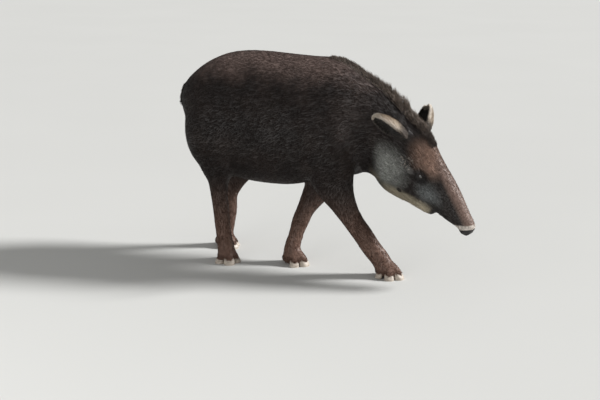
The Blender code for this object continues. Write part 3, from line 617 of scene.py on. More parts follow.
def head_ring(row):
    """The section of the skull or the jaw for one row of its table."""
    across = HEAD.to_3x3() @ Vector((0, 1, 0))
    top = HEAD @ Vector((row[0], 0, row[1]))
    bottom = HEAD @ Vector((row[0], 0, row[2]))
    return oval(top, bottom, row[3], row[4], across, row[5], row[6])


def tube_rings(table, steps):
    """Sections square to a limb's own line, from rows of centre, half depth and half width."""
    rows = rows_along(table, steps)
    rings = []
    for i, row in enumerate(rows):
        before, after = rows[max(i - 1, 0)], rows[min(i + 1, len(rows) - 1)]
        along = Vector(after[:3] - before[:3]).normalized()
        fore = Vector((0, 1, 0)).cross(along).normalized()
        centre = Vector(row[:3]) + SHIFT
        front, rear = centre + fore * row[3], centre - fore * row[3]
        rings.append(oval(front, rear, row[4], 0.5, along.cross(fore), 2, 2))
    return rings

# %% Feet and tail


def foot_matrix(name):
    """A foot's own frame on the ground: x the way its toes point."""
    (x, y), turn, _ = FEET[name]
    place = Matrix.Translation(Vector((x, y, 0)) + SHIFT)
    return place @ Matrix.Rotation(math.radians(turn), 4, "Z")


def toes_of(name):
    """Each toe's name, direction, reach, radius and lift."""
    side = FEET[name][2]
    for toe, angle, reach, radius, lift in FORE_TOES if "fore" in name else HIND_TOES:
        yield toe, math.radians(angle * side), reach, radius, lift


def add_foot(bm, name):
    """A pad and a row of shrinking balls for each toe."""
    matrix = foot_matrix(name)
    ball(bm, PAD_CENTRE, PAD_RADII, matrix)
    for _, angle, reach, radius, lift in toes_of(name):
        way = Vector((math.cos(angle), math.sin(angle), 0))
        tip = way * reach + Vector((0, 0, radius * 0.95 + lift))
        root = way * TOE_ROOT + Vector((0, 0, ANKLE_HEIGHT))
        for share in TOE_SHARES:
            arch = Vector((0, 0, TOE_ARCH * math.sin(math.pi * share)))
            thick = radius * (TOE_SWELL - TOE_LOSS * share)
            ball(bm, root.lerp(tip, share) + arch, (thick,) * 3, matrix)


def tail_table():
    """The tail's rows in the form of a limb's, on the middle line."""
    return [(x, 0.0, z, deep, wide) for x, z, deep, wide in TAIL]

# %% Joined
flesh = bmesh.new()
trunk_places = [i / STEPS for i in range((len(TRUNK) - 1) * STEPS + 1)]
loft(flesh, [trunk_ring(place) for place in trunk_places], SIDES)
for table in (SKULL, JAW):
    loft(flesh, [head_ring(row) for row in rows_along(table, STEPS)], SIDES)
for centre, radii in HEAD_SWELLINGS.values():
    for side in (-1, 1):
        ball(flesh, (centre[0], centre[1] * side, centre[2]), radii, HEAD)
for centre, radii in MUSCLES.values():
    ball(flesh, centre, radii)
for table in LEGS.values():
    loft(flesh, tube_rings(table, STEPS), SIDES)
for name in FEET:
    add_foot(flesh, name)
loft(flesh, tube_rings(tail_table(), STEPS), TAIL_SIDES)
skin = object_of(flesh, "skin")
print("shapes joined in the flesh:", len(skin.data.polygons), "faces")

# %% [markdown]
# The remesh leaves small terraces and sharp joins. A vertex group says how much each place is
# smoothed, so that the shoulder melts into the neck while the lips and toes keep their shape.

# %% Fused and smoothed
SMOOTH_EVERYWHERE = 4
SMOOTH_BODY = 48
# Share of the strong smoothing that reaches the feet and the front of the face
FOOT_SOFTNESS = 0.14
FACE_SOFTNESS = 0.12


def in_head(places):
    """Places in the head's frame, for an array of points."""
    return places @ HEAD_INVERSE[:3, :3].T + HEAD_INVERSE[:3, 3]


def ease(value, low, high):
    """0 below the first number, 1 above the second, and a soft step between them."""
    t = np.clip((value - low) / (high - low), 0, 1)
    return t * t * (3 - 2 * t)


def points_of(mesh, what="co"):
    found = np.empty(len(mesh.vertices) * 3)
    if what == "co":
        mesh.vertices.foreach_get("co", found)
    else:
        mesh.vertex_normals.foreach_get("vector", found)
    return found.reshape(-1, 3)


def apply_modifiers(obj):
    """Replaces the object's mesh by the one that its modifiers make."""
    bpy.context.view_layer.update()
    graph = bpy.context.evaluated_depsgraph_get()
    made = bpy.data.meshes.new_from_object(obj.evaluated_get(graph))
    obj.modifiers.clear()
    obj.vertex_groups.clear()
    obj.data = made


def softness(places):
    """How strongly the joins are smoothed: fully on the body, less on the extremities."""
    local = in_head(places)
    up_the_leg = np.clip((places[:, 2] - 0.28) / 0.14, 0, 1)
    down_the_face = np.clip((local[:, 0] - 0.10) / 0.10, 0, 1)
    face = (places[:, 0] > 0.4 + SHIFT.x) & (places[:, 2] > 0.15) & (local[:, 0] > -0.1)
    on_face = 1.0 - (1 - FACE_SOFTNESS) * down_the_face
    return np.where(face, on_face, FOOT_SOFTNESS + (1 - FOOT_SOFTNESS) * up_the_leg)


fuse = skin.modifiers.new("fuse", "REMESH")
fuse.mode = "VOXEL"
fuse.voxel_size = FLESH_VOXEL
apply_modifiers(skin)
group = skin.vertex_groups.new(name="soft")
for i, weight in enumerate(softness(points_of(skin.data))):
    group.add([i], weight, "REPLACE")
for iterations, name in ((SMOOTH_EVERYWHERE, ""), (SMOOTH_BODY, "soft")):
    melt = skin.modifiers.new("melt", "SMOOTH")
    melt.factor = 0.5
    melt.iterations = iterations
    melt.vertex_group = name
apply_modifiers(skin)
print("skin:", len(skin.data.polygons), "faces of about", FLESH_VOXEL * 1000, "mm")

# %% [markdown]
# ## The face and the feet in finer mesh
#
# Lids, nostrils and lips need faces of one or two millimetres, which would be far too many over
# the whole animal. So only the head and the feet are subdivided, and again close to the eyes,
# the mouth and the nostrils. After each step the new points are smoothed, because subdividing
# alone keeps the flat facets.

# %% Finer regions
MOUTH_LINE = ((0.256, -0.118), (0.288, -0.130), (0.318, -0.134), (0.346, -0.129), (0.376, -0.126))
NOSTRIL_PLACE = (0.522, 0.017, -0.064)
# The feet end at this height, and the lids lie within these distances of the middle of the eye
FOOT_TOP = 0.085
LIDS_REACH = 0.036
RIMS_REACH = 0.026


def eye_matrix(side):
    """The eye's own frame: y looks out of the head and x runs along the opening of the lids."""
    look = Vector((EYE_LOOK[0], EYE_LOOK[1] * side, EYE_LOOK[2])).normalized()
    along = Vector((math.cos(LID_TILT), 0, math.sin(LID_TILT)))
    along = (along - look * along.dot(look)).normalized()
    turn = Matrix((along, look, along.cross(look))).transposed().to_4x4()
    return HEAD @ Matrix.Translation((EYE_PLACE[0], EYE_PLACE[1] * side, EYE_PLACE[2])) @ turn


EYE_FRAMES = {side: eye_matrix(side) for side in (-1, 1)}


def in_frame(matrix, places):
    """Places in another frame, for an array of points."""
    inverse = np.array(matrix.inverted())
    return places @ inverse[:3, :3].T + inverse[:3, 3]


def mouth_distance(local):
    """Distance from the line of the mouth, seen from the side, in the head's frame."""
    spots = local[:, [0, 2]]
    nearest = np.full(len(spots), 1e9)
    for start, end in zip(np.array(MOUTH_LINE), np.array(MOUTH_LINE[1:])):
        run = end - start
        t = np.clip((spots - start) @ run / (run @ run), 0, 1)
        nearest = np.minimum(nearest, np.linalg.norm(spots - start - t[:, None] * run, axis=1))
    return nearest


def near_eyes(places, reach):
    close = np.zeros(len(places), bool)
    for matrix in EYE_FRAMES.values():
        close |= np.linalg.norm(in_frame(matrix, places), axis=1) < reach
    return close


def near_face_openings(local):
    """Close to the mouth or to a nostril."""
    lips = (mouth_distance(local) < 0.016) & (np.abs(local[:, 1]) < 0.09)
    mirrored = local * (1, 0, 1) + (0, 1, 0) * np.abs(local)
    return lips | (np.linalg.norm(mirrored - NOSTRIL_PLACE, axis=1) < 0.030)


def on_head(places):
    local = in_head(places)
    return (local[:, 0] > 0.03) & (local[:, 2] > -0.30) & (places[:, 2] > 0.12)

# %% Refining


def refine(obj, chosen, smoothing):
    """Splits the faces whose points are chosen in four, and smooths their points."""
    bm = bmesh.new()
    bm.from_mesh(obj.data)
    picked = chosen(np.array([v.co for v in bm.verts]))
    edges = [e for e in bm.edges if picked[e.verts[0].index] and picked[e.verts[1].index]]
    bmesh.ops.subdivide_edges(bm, edges=edges, cuts=1, use_grid_fill=True)
    inside = chosen(np.array([v.co for v in bm.verts]))
    soft = [v for v, take in zip(bm.verts, inside) if take]
    for _ in range(smoothing):
        bmesh.ops.smooth_vert(
            bm, verts=soft, factor=0.5, use_axis_x=True, use_axis_y=True, use_axis_z=True
        )
    bm.to_mesh(obj.data)
    bm.free()


refine(skin, on_head, 4)
refine(skin, lambda p: p[:, 2] < FOOT_TOP, 3)
refine(skin, lambda p: near_eyes(p, LIDS_REACH) | near_face_openings(in_head(p)), 3)
refine(skin, lambda p: near_eyes(p, RIMS_REACH), 2)
print("skin after refining:", len(skin.data.polygons), "faces")

# %% [markdown]
# An eyelid is a thin wall over the eyeball with an almond opening, so the skin near each eye is
# first drawn to a dome a little larger than the ball and then, inside the almond, pushed in
# behind the ball's surface. The ball itself then shows through, as deep as a real eye. Folds run
# along both lids. Nostrils are pits with a raised rim, and the mouth is a groove between lips.

# %% Eyelids
LID_WALL = 0.0019
ALMOND_HALF = 0.0140
UPPER_LID = 0.0072
LOWER_LID = 0.0056
# The lids' dome is round this far from its middle and then falls away at a slope
DOME_REACH = 0.013
DOME_SLOPE = 0.45
# Where the dome fades into the face, and how deep the skin is pushed in behind the ball
LID_FADE = (0.015, 0.030)
BEHIND_BALL = 0.0035
# Folds over and under the opening: distance from its rim, half width and height
UPPER_FOLDS = ((0.0020, 0.0012, 0.0007), (0.0046, 0.0013, -0.0011), (0.0078, 0.0018, 0.0008))
LOWER_FOLDS = ((0.0018, 0.0011, 0.0006), (0.0045, 0.0011, -0.0009), (0.0085, 0.0012, -0.0008))


def bump_at(distance, middle, width, height):
    """A rounded ridge at some distance from a line, or a furrow where the height is negative."""
    return height * np.exp(-(((distance - middle) / width) ** 2))


def shape_lids(places, side):
    """Draws the skin near one eye over its ball, and opens the lids."""
    matrix = EYE_FRAMES[side]
    local = in_frame(matrix, places)
    u, v, w = local[:, 0], local[:, 1], local[:, 2] * side
    reach = np.hypot(u, 1.15 * w)
    outer = EYE_RADIUS + LID_WALL
    flat = np.hypot(u, w)
    dome = np.sqrt(outer**2 - np.minimum(flat, DOME_REACH) ** 2)
    dome = dome - DOME_SLOPE * np.maximum(flat - DOME_REACH, 0)
    share = (1 - ease(reach, *LID_FADE)) * (v > -0.004)
    arch = np.maximum(1 - (u / ALMOND_HALF) ** 2, 0)
    rim = np.where(w > 0, w - UPPER_LID * arch, -w - LOWER_LID * arch)
    rim = np.where(np.abs(u) > ALMOND_HALF, np.hypot(np.abs(u) - ALMOND_HALF, w), rim)
    folds = sum(bump_at(rim, *fold) for fold in UPPER_FOLDS) * (w > 0)
    folds = folds + sum(bump_at(rim, *fold) for fold in LOWER_FOLDS) * (w <= 0)
    lid = v + (dome + folds * (rim > 0) - v) * share
    behind = np.sqrt(np.maximum(EYE_RADIUS**2 - flat**2, 0)) - BEHIND_BALL
    opening = (1 - ease(rim, -0.0011, 0.0003)) * (share > 0.5)
    local[:, 1] = lid + (behind - lid) * opening
    turned = np.array(matrix)
    return local @ turned[:3, :3].T + turned[:3, 3]

# %% Nostrils and mouth
NOSTRIL_HALF = (0.0085, 0.0105)
NOSTRIL_DEPTH = 0.015
NOSTRIL_RIM = (1.25, 0.28, 0.0020)
# Across the line of the mouth: distance, half width and height of its groove and of the lips
MOUTH_GROOVE = (0.0, 0.0024, -0.0042)
LIP_SWELL = (0.0062, 0.0030, 0.0018)
# Creases across the top of the snout: height, and spacing along it
SNOUT_CREASE = 0.0009
CREASE_SPACING = 0.0125


def shape_face(places, normals):
    """Cuts the mouth and the nostrils, and lays creases across the snout."""
    local = in_head(places)
    way = normals @ HEAD_INVERSE[:3, :3].T
    mouth = mouth_distance(local)
    sided = (local[:, 2] < -0.06) & (local[:, 0] < 0.40)
    lips = bump_at(mouth, *MOUTH_GROOVE) + bump_at(mouth, *LIP_SWELL)
    creases = SNOUT_CREASE * np.sin(local[:, 0] * 2 * math.pi / CREASE_SPACING)
    creases *= ease(local[:, 0], 0.33, 0.42) * (1 - ease(local[:, 0], 0.49, 0.51))
    creases *= ease(way[:, 2], -0.1, 0.5)
    local += way * (lips * sided + creases)[:, None]
    across = (np.abs(local[:, 1]) - NOSTRIL_PLACE[1]) / NOSTRIL_HALF[0]
    upright = (local[:, 2] - NOSTRIL_PLACE[2]) / NOSTRIL_HALF[1]
    pit = np.hypot(across, upright)
    front = ease(local[:, 0], 0.485, 0.500)
    hollow = NOSTRIL_DEPTH * (1 - ease(pit, 0.3, 1.05))
    local[:, 0] += front * (bump_at(pit, *NOSTRIL_RIM) - hollow)
    turned = np.array(HEAD)
    return local @ turned[:3, :3].T + turned[:3, 3]


places = shape_face(points_of(skin.data), points_of(skin.data, "normals"))
for side in (-1, 1):
    places = shape_lids(places, side)
skin.data.vertices.foreach_set("co", places.ravel())
skin.data.update()
print("lid opening:", round(2000 * ALMOND_HALF), "by", round(1000 * (UPPER_LID + LOWER_LID)), "mm")

# %% [markdown]
# The solids stand for the animal with its coat on. The skin therefore lies inside them by the
# coat's depth, which is greatest on the neck and least on the face and feet. The soles are kept
# just above the floor.

# %% Room for the coat
BODY_COAT, FACE_COAT, FOOT_COAT = 0.0035, 0.0016, 0.0014
SOLE_HEIGHT = 0.0006


def coat_depth(places):
    """How far the skin lies under the tips of the hair."""
    local = in_head(places)
    face = ease(local[:, 0], -0.04, 0.08) * (places[:, 2] > 0.13)
    low_leg = 1 - ease(places[:, 2], 0.08, 0.40)
    thin = np.maximum(face * (places[:, 0] > 0.2), low_leg * (1 - face))
    least = np.where(face > 0.5, FACE_COAT, FOOT_COAT)
    return BODY_COAT * (1 - thin) + least * thin


places = points_of(skin.data)
normals = points_of(skin.data, "normals")
by_eye = np.minimum(*(np.linalg.norm(in_frame(m, places), axis=1) for m in EYE_FRAMES.values()))
places -= normals * (coat_depth(places) * ease(by_eye, 0.018, 0.032))[:, None]
places[:, 2] = np.maximum(places[:, 2], SOLE_HEIGHT)
skin.data.vertices.foreach_set("co", places.ravel())
cut = bmesh.new()
cut.from_mesh(skin.data)
bmesh.ops.triangulate(cut, faces=cut.faces)
cut.to_mesh(skin.data)
cut.free()
skin.data.shade_smooth()
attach(skin, BODY)
soft_nodes = ("torso", "neck", "head", "tail", "foreleg", "hindleg")
flesh_nodes = [n for n in frame["nodes"] if n.split("_")[0] in soft_nodes or n in FEET]
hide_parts(*flesh_nodes)
print("skin:", len(skin.data.polygons), "triangles, in place of", len(flesh_nodes), "solids")

# %% [markdown]
# ## One set of markings for skin and fur
#
# Undercoat and hair must change colour at the same places, or the coat looks like a wig. Both are
# painted by one function that reads the place on the body. Soft ellipsoids mark the grey cheeks,
# the reddish forehead with painted sunlight on it, painted shade under the snout and the dark skin
# round the eyes, and slanting lines bound the pale jaw and the white end of the snout. A painted
# sunlit band lightens the top of the back, and another the reddish top of the snout. Those on the
# head are set in the head's own frame, and clouds of noise break every edge.

# %% Colours of the coat
BROWN_DARK = (0.0125, 0.0088, 0.0078)
BROWN = (0.0240, 0.0160, 0.0132)
# Painted sunlight on the top of the back; the same pale also lightens the tufts' tips
PAINTED_SUN_AND_TIP_PALE = (0.240, 0.168, 0.146)
LEG_RED = (0.215, 0.122, 0.088)
HEAD_DARK = (0.026, 0.020, 0.018)
SUNLIT_FOREHEAD_RED = (0.40, 0.25, 0.185)
SUNLIT_SNOUT_RED = (0.270, 0.180, 0.145)
CHEEK_GREY = (0.42, 0.43, 0.40)
JAW_OCHRE = (0.56, 0.49, 0.36)
LIP_GREY = (0.26, 0.28, 0.28)
RIM_WHITE = (0.740, 0.670, 0.600)
CREASE_PALE = (0.520, 0.450, 0.390)
# Dark wet skin, and also the painted shade under the snout
DARK_SKIN_AND_SHADE = (0.010, 0.008, 0.0075)
# Marks on both sides of the head, in the head's frame: centre, radii and softness of the edge
HEAD_MARKS = {
    "cheek": ((0.050, 0.110, -0.165), (0.115, 0.085, 0.090), 0.50),
    # The forehead mark is reddish hair with painted sunlight on it
    "forehead": ((0.150, 0.036, 0.006), (0.085, 0.085, 0.054), 0.55),
    "throat": ((-0.010, 0.075, -0.245), (0.090, 0.085, 0.045), 0.50),
    "lip": ((0.278, 0.062, -0.086), (0.056, 0.034, 0.036), 0.90),
    "mole": ((0.179, 0.073, -0.189), (0.013, 0.030, 0.010), 0.35),
    "temple": ((0.108, 0.095, -0.062), (0.034, 0.040, 0.024), 0.60),
    "eye_socket": ((0.200, 0.080, -0.054), (0.038, 0.034, 0.030), 0.40),
    # Painted shade under the snout
    "shade_under_snout": ((0.385, 0.000, -0.114), (0.110, 0.070, 0.036), 0.40),
}
print("marks on the head:", ", ".join(HEAD_MARKS))

# %% Markings


def head_place(paint):
    """The place in the head's frame, from three dot products."""
    away = paint.vector("SUBTRACT", paint.place, tuple(HEAD.translation))
    axes = [tuple(HEAD.to_3x3().col[i]) for i in range(3)]
    return [paint.vector("DOT_PRODUCT", away, axis, output=1) for axis in axes]


def markings(paint):
    """The colour of the coat at a place of the body."""
    cloud = paint.noise(7.0, 3.0)
    fine = paint.noise(46.0, 2.0)
    x, _, z = paint.parts()
    hx, hy, hz = head_place(paint)
    mirrored = paint.node("ShaderNodeCombineXYZ", {}, hx, hy.math("ABSOLUTE"), hz)
    mark = {name: paint.blob(*sizes, mirrored) for name, sizes in HEAD_MARKS.items()}

    colour = paint.mix(cloud.ramp(0.35, 0.68), BROWN_DARK, BROWN)
    # Painted sunlight: the top of the back is painted paler, as where the sun falls on it
    painted_sunlit_top = (z + cloud * 0.14 + fine * 0.06).ramp(0.93, 1.10)
    colour = paint.mix(painted_sunlit_top * 0.8, colour, PAINTED_SUN_AND_TIP_PALE)
    not_head = 1 - x.ramp(0.44, 0.48) * z.ramp(0.10, 0.16)
    shin = (1 - (z + cloud * 0.10).ramp(0.14, 0.50)) * not_head
    colour = paint.mix(shin * 0.9, colour, LEG_RED)

    # The right foreleg reaches under the head, so the head's own markings stop above it
    over_legs = (x + z * 0.9).ramp(0.60, 0.68)
    on_face = (hx + fine * 0.03).ramp(-0.06, 0.06) * x.ramp(0.30, 0.36) * over_legs
    colour = paint.mix(on_face, colour, HEAD_DARK)
    cheek = mark["cheek"] * x.ramp(0.24, 0.30)
    colour = paint.mix(cheek * (0.62 + fine * 0.5), colour, CHEEK_GREY)
    # Reddish forehead, painted brighter as sunlit
    colour = paint.mix(mark["forehead"] * (0.55 + fine * 0.6), colour, SUNLIT_FOREHEAD_RED)
    # The top of the snout is reddish, painted lighter as sunlit
    sunlit_snout_top = (hx + fine * 0.03).ramp(0.15, 0.22) * (hz + hx * 0.22).ramp(0.052, 0.076)
    colour = paint.mix(sunlit_snout_top * 0.9, colour, SUNLIT_SNOUT_RED)
    # The jaw is pale below a slanting line from its corner to the chin
    over_jaw = hz - hx * 0.444 + 0.293 + fine * 0.016
    jaw = (1 - over_jaw.ramp(0.010, 0.052)) * hx.ramp(0.06, 0.17) * (1 - hx.ramp(0.325, 0.345))
    jaw = jaw * hz.ramp(-0.335, -0.305)
    pale = jaw.larger(mark["throat"] * x.ramp(0.22, 0.28)) * (0.65 + fine * 0.5)
    colour = paint.mix(pale.smaller(1.0), colour, JAW_OCHRE)
    colour = paint.mix(mark["lip"] * 0.7, colour, LIP_GREY)
    colour = paint.mix(mark["mole"] * 0.9, colour, DARK_SKIN_AND_SHADE)
    streaks = paint.noise(150.0, 2.0, mirrored, (1.0, 0.5, 0.6)).ramp(0.52, 0.62)
    colour = paint.mix(mark["temple"] * streaks * 0.8, colour, CREASE_PALE)
    colour = paint.mix(mark["eye_socket"] * 0.9, colour, DARK_SKIN_AND_SHADE)
    # Painted shade under the snout
    colour = paint.mix(mark["shade_under_snout"] * 0.9, colour, DARK_SKIN_AND_SHADE)
    # A slanting line across the end of the snout: a pale band before it and dark skin beyond it
    beyond = hx * 0.798 - hz * 0.603 - 0.4206 + fine * 0.006
    tip = hx.ramp(0.44, 0.46) * over_legs
    band = beyond.ramp(-0.012, -0.004) * tip
    colour = paint.mix(band * (0.8 + fine * 0.3), colour, RIM_WHITE)
    return paint.mix(beyond.ramp(0.008, 0.014) * tip, colour, DARK_SKIN_AND_SHADE)

# %% Skin paint
hide = Paint("hide", 0.55)
colour = markings(hide)
pores = hide.noise(260.0, 2.0)
grain = hide.noise(120.0, 3.0, None, (0.35, 1.0, 1.0))
creased = hide.mix(0.5, colour, BROWN_DARK)
hide.feed("Base Color", hide.mix(grain.ramp(0.3, 0.7) * 0.35, colour, creased))
hide.feed("Roughness", 0.46 + pores * 0.18)
hide.relief(grain + pores * 0.5, 0.5, 0.0018)
wear(skin, hide)
print("marking nodes:", len(hide.nodes))

# %% [markdown]
# ## Eyes
#
# The solids hold plain balls. A real eye has a cornea that stands a little proud, a dark brown
# iris and a wet shine. The ball is a sphere with finer faces, pressed out in front, and each
# point carries its angle from the middle of the pupil, so that the iris can be painted by it.

# %% Eyeballs
PUPIL_ANGLE = 0.30
IRIS_ANGLE = 0.72
CORNEA_RISE = 0.045
# How far the ball stays inside its solid, where the iris's dark rim starts as a share of the
# iris, and how soft the edge of the pupil is
EYE_ROOM = 0.0003
IRIS_RING = 0.82
PUPIL_EDGE = 0.05
IRIS_DARK, IRIS_LIGHT = (0.012, 0.006, 0.004), (0.034, 0.017, 0.009)
IRIS_RIM = (0.012, 0.008, 0.007)
PUPIL_BLACK = (0.003, 0.003, 0.003)
EYE_BROWN_WHITE = (0.050, 0.034, 0.030)


def make_eye(side):
    """An eyeball with a cornea, looking out of one side of the head."""
    bm = bmesh.new()
    radius = EYE_RADIUS - EYE_ROOM
    bmesh.ops.create_uvsphere(bm, u_segments=40, v_segments=28, radius=radius)
    angle_layer = bm.verts.layers.float.new("from_pupil")
    for vertex in bm.verts:
        angle = vertex.co.angle(Vector((0, 1, 0)))
        vertex[angle_layer] = angle
        vertex.co *= 1 + CORNEA_RISE * max(0.0, 1 - (angle / IRIS_ANGLE) ** 2)
    bmesh.ops.transform(bm, matrix=EYE_FRAMES[side], verts=bm.verts)
    eye = object_of(bm, "eyeball_left" if side > 0 else "eyeball_right")
    eye.data.shade_smooth()
    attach(eye, BODY)
    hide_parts("eye_left" if side > 0 else "eye_right")
    return eye


cornea = Paint("wet_eye", 0.09, Specular_IOR_Level=1.0, Coat_Weight=1.0)
angle = cornea.attribute("from_pupil")
fibres = cornea.noise(900.0, 2.0)
iris = cornea.mix(fibres, IRIS_DARK, IRIS_LIGHT)
iris = cornea.mix(angle.ramp(IRIS_ANGLE * IRIS_RING, IRIS_ANGLE), iris, IRIS_RIM)
iris = cornea.mix(angle.ramp(PUPIL_ANGLE, PUPIL_ANGLE + PUPIL_EDGE), PUPIL_BLACK, iris)
white = angle.ramp(IRIS_ANGLE + 0.10, IRIS_ANGLE + 0.45)
cornea.feed("Base Color", cornea.mix(white, iris, EYE_BROWN_WHITE))
cornea.feed("Roughness", 0.07 + fibres * 0.03)
for side in (-1, 1):
    wear(make_eye(side), cornea)
print("eyeballs:", round(2000 * EYE_RADIUS), "mm across")

# %% [markdown]
# ## Ears
#
# A tapir's ear is a short oval cup with a thin wall, a round tip and a white rim. It could be a
# bent sheet with Solidify, but a wall that thins towards the tip is easier as a loft: each
# section is a horseshoe, outer side and inner side in one ring, and the subdivision rounds it.
# The right ear is laid back and opens to the camera, and the left one stands out.

# %% Ear cups
# Root, tip and the way the cup opens, in the head's frame
EARS = {
    "ear_right": ((0.006, -0.103, -0.006), (-0.110, -0.220, 0.013), (0.60, -0.66, -0.47)),
    "ear_left": ((0.002, 0.090, -0.008), (-0.084, 0.170, 0.044), (-0.62, -0.77, 0.06)),
}
EAR_HALF_WIDTH = 0.045
EAR_WALL = 0.0055
# Depth of the cup at its root, and what it loses towards the tip, as shares of the half width
EAR_DEPTH = (1.25, 0.50)
# Half width as a share of the widest, at some shares of the length from root to tip
EAR_SHARES = (0, 0.2, 0.45, 0.7, 0.88, 1.0)
EAR_WIDTHS = (0.62, 0.86, 1.0, 0.93, 0.72, 0.32)
# The wall bends this far round the hollow to each side, and the root is sunk into the head
EAR_WRAP = math.radians(105)
EAR_SUNK = 0.020
# Up to the first share the root is solid, and by the sum of both the hollow is as deep as it gets
HOLLOW_START, HOLLOW_RISE = 0.20, 0.16
# The solid root's arch spans this share of the wall's angle, and stands this high
ROOT_ARCH = 0.857
ARCH_HEIGHT = (0.10, 0.30)
EAR_RING = 26
EAR_STEPS = 18
# What each point of an ear remembers: near the white rim, on the inner side, how far along from
# the root, and how near to the upper edge
EAR_LAYERS = ("rim", "inside", "along", "upper")
LOWER_RIM = 0.4


def ear_width(share):
    return EAR_HALF_WIDTH * float(np.interp(share, EAR_SHARES, EAR_WIDTHS))


def ear_axes(name):
    """The root, the whole length, and the ways along, out of the hollow and across."""
    root, tip, opens = (Vector(v) for v in EARS[name])
    along = (tip - root).normalized()
    opens = (opens - along * opens.dot(along)).normalized()
    return root, tip - root, along, opens, along.cross(opens)


def ear_point(name, share, turn, inner):
    """A point of the cup: how far along, the angle round its back, outer side 0 or inner side 1."""
    root, long, along, opens, across = ear_axes(name)
    centre = root - along * EAR_SUNK + (long + along * EAR_SUNK) * share
    width = ear_width(share)
    depth = width * (EAR_DEPTH[0] - EAR_DEPTH[1] * share)
    wall = min(EAR_WALL * (1.0 - 0.45 * share), width * 0.6) * inner
    hollow = min(1.0, max(0.0, (share - HOLLOW_START) / HOLLOW_RISE)) if inner else 1.0
    curved = across * math.sin(turn) * (width - wall) - opens * math.cos(turn) * (depth - wall)
    # Where the root is solid, the inner side bulges out as a low arch from edge to edge
    arch = turn * ROOT_ARCH
    filled = across * math.sin(arch) * width * 0.9
    filled += opens * width * (ARCH_HEIGHT[0] + ARCH_HEIGHT[1] * math.cos(arch))
    return HEAD @ (centre + curved * hollow + filled * (1 - hollow))

# %% Lofting the ears


def make_ear(name):
    """One ear cup, lofted from horseshoes: down the outer side of the wall and back inside."""
    bm = bmesh.new()
    for layer in EAR_LAYERS:
        bm.verts.layers.float.new(layer)
    layers = [bm.verts.layers.float[layer] for layer in EAR_LAYERS]
    half = EAR_RING // 2
    loops = []
    for step in range(EAR_STEPS):
        share = step / (EAR_STEPS - 1)
        capped = step in (0, EAR_STEPS - 1)
        ring = bmesh.ops.create_circle(bm, cap_ends=capped, segments=EAR_RING, radius=1)["verts"]
        for i, vertex in enumerate(ring):
            inner = i >= half
            k = (2 * half - 1 - i) if inner else i
            upper = 2 * k / (half - 1) - 1
            vertex.co = ear_point(name, share, EAR_WRAP * upper, float(inner))
            rim = max(upper, -LOWER_RIM * upper, ease(share, 0.72, 1.0))
            for layer, value in zip(layers, (rim, float(inner), share, upper)):
                vertex[layer] = value
        loops.append(list({e for v in ring for e in v.link_edges}))
    for first, second in zip(loops, loops[1:]):
        bmesh.ops.bridge_loops(bm, edges=first + second)
    ear = object_of(bm, name + "_cup")
    round_off = ear.modifiers.new("round", "SUBSURF")
    round_off.levels = round_off.render_levels = 1
    apply_modifiers(ear)
    ear.data.shade_smooth()
    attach(ear, BODY)
    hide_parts(name)
    return ear

# %% Ear colours
EAR_ROOT_BROWN = (0.060, 0.044, 0.035)
EAR_TAN = (0.50, 0.40, 0.30)
EAR_DARK = (0.022, 0.016, 0.013)
EAR_INSIDE = (0.012, 0.009, 0.008)
EAR_WHITE = (0.74, 0.66, 0.57)


def ear_colour(paint):
    """Dark inside and below, tan-grey behind, with a broad white rim round the tip."""
    rim, inside, share, upper = (paint.attribute(name) for name in EAR_LAYERS)
    fine = paint.noise(90.0, 2.0)
    back = paint.mix(share.ramp(0.20, 0.55), EAR_ROOT_BROWN, EAR_TAN)
    back = paint.mix(upper.ramp(-0.45, 0.15), EAR_DARK, back)
    colour = paint.mix(inside.ramp(0.3, 0.7), back, EAR_INSIDE)
    edge = (rim + fine * 0.16).ramp(0.84, 1.02) * share.ramp(0.30, 0.50)
    return paint.mix(edge, colour, EAR_WHITE)


gristle = Paint("ear_hide", 0.6)
gristle.feed("Base Color", ear_colour(gristle))
ear_grain = gristle.noise(220.0, 3.0)
gristle.feed("Roughness", 0.5 + ear_grain * 0.2)
gristle.relief(ear_grain, 0.4, 0.0012)
ears = {name: make_ear(name) for name in EARS}
for ear in ears.values():
    wear(ear, gristle)
print("ears:", {name: len(ear.data.polygons) for name, ear in ears.items()}, "faces")

# %% [markdown]
# ## Hooves
#
# A tapir has four hooves on each forefoot and three on each hindfoot. Each is a blunt cap of
# horn, lofted from a few sections and cut flat where it meets the floor. Fine growth rings run
# round the horn, and it is paler and scuffed towards the ground.

# %% Horn caps
# Sections from the ground up, as shares of the toe's radius: height, shift back, half length and
# half width
HOOF_SECTIONS = (
    (-0.15, 0.00, 0.94, 1.04),
    (0.45, 0.06, 0.94, 1.04),
    (1.00, 0.24, 0.84, 0.97),
    (1.45, 0.46, 0.64, 0.80),
    (1.70, 0.62, 0.36, 0.50),
)
HOOF_REACH = 0.30
HOOF_SIDES = 28
HOOF_RINGS = 4
# How steeply the horn's front leans back, and how square its sections are
HOOF_SLANT = 0.35
HOOF_SQUARE = 2.3
HORN_BROWN, HORN_PALE = (0.34, 0.28, 0.23), (0.60, 0.53, 0.45)
HORN_TOP, HORN_STAIN = (0.16, 0.105, 0.080), (0.10, 0.075, 0.060)


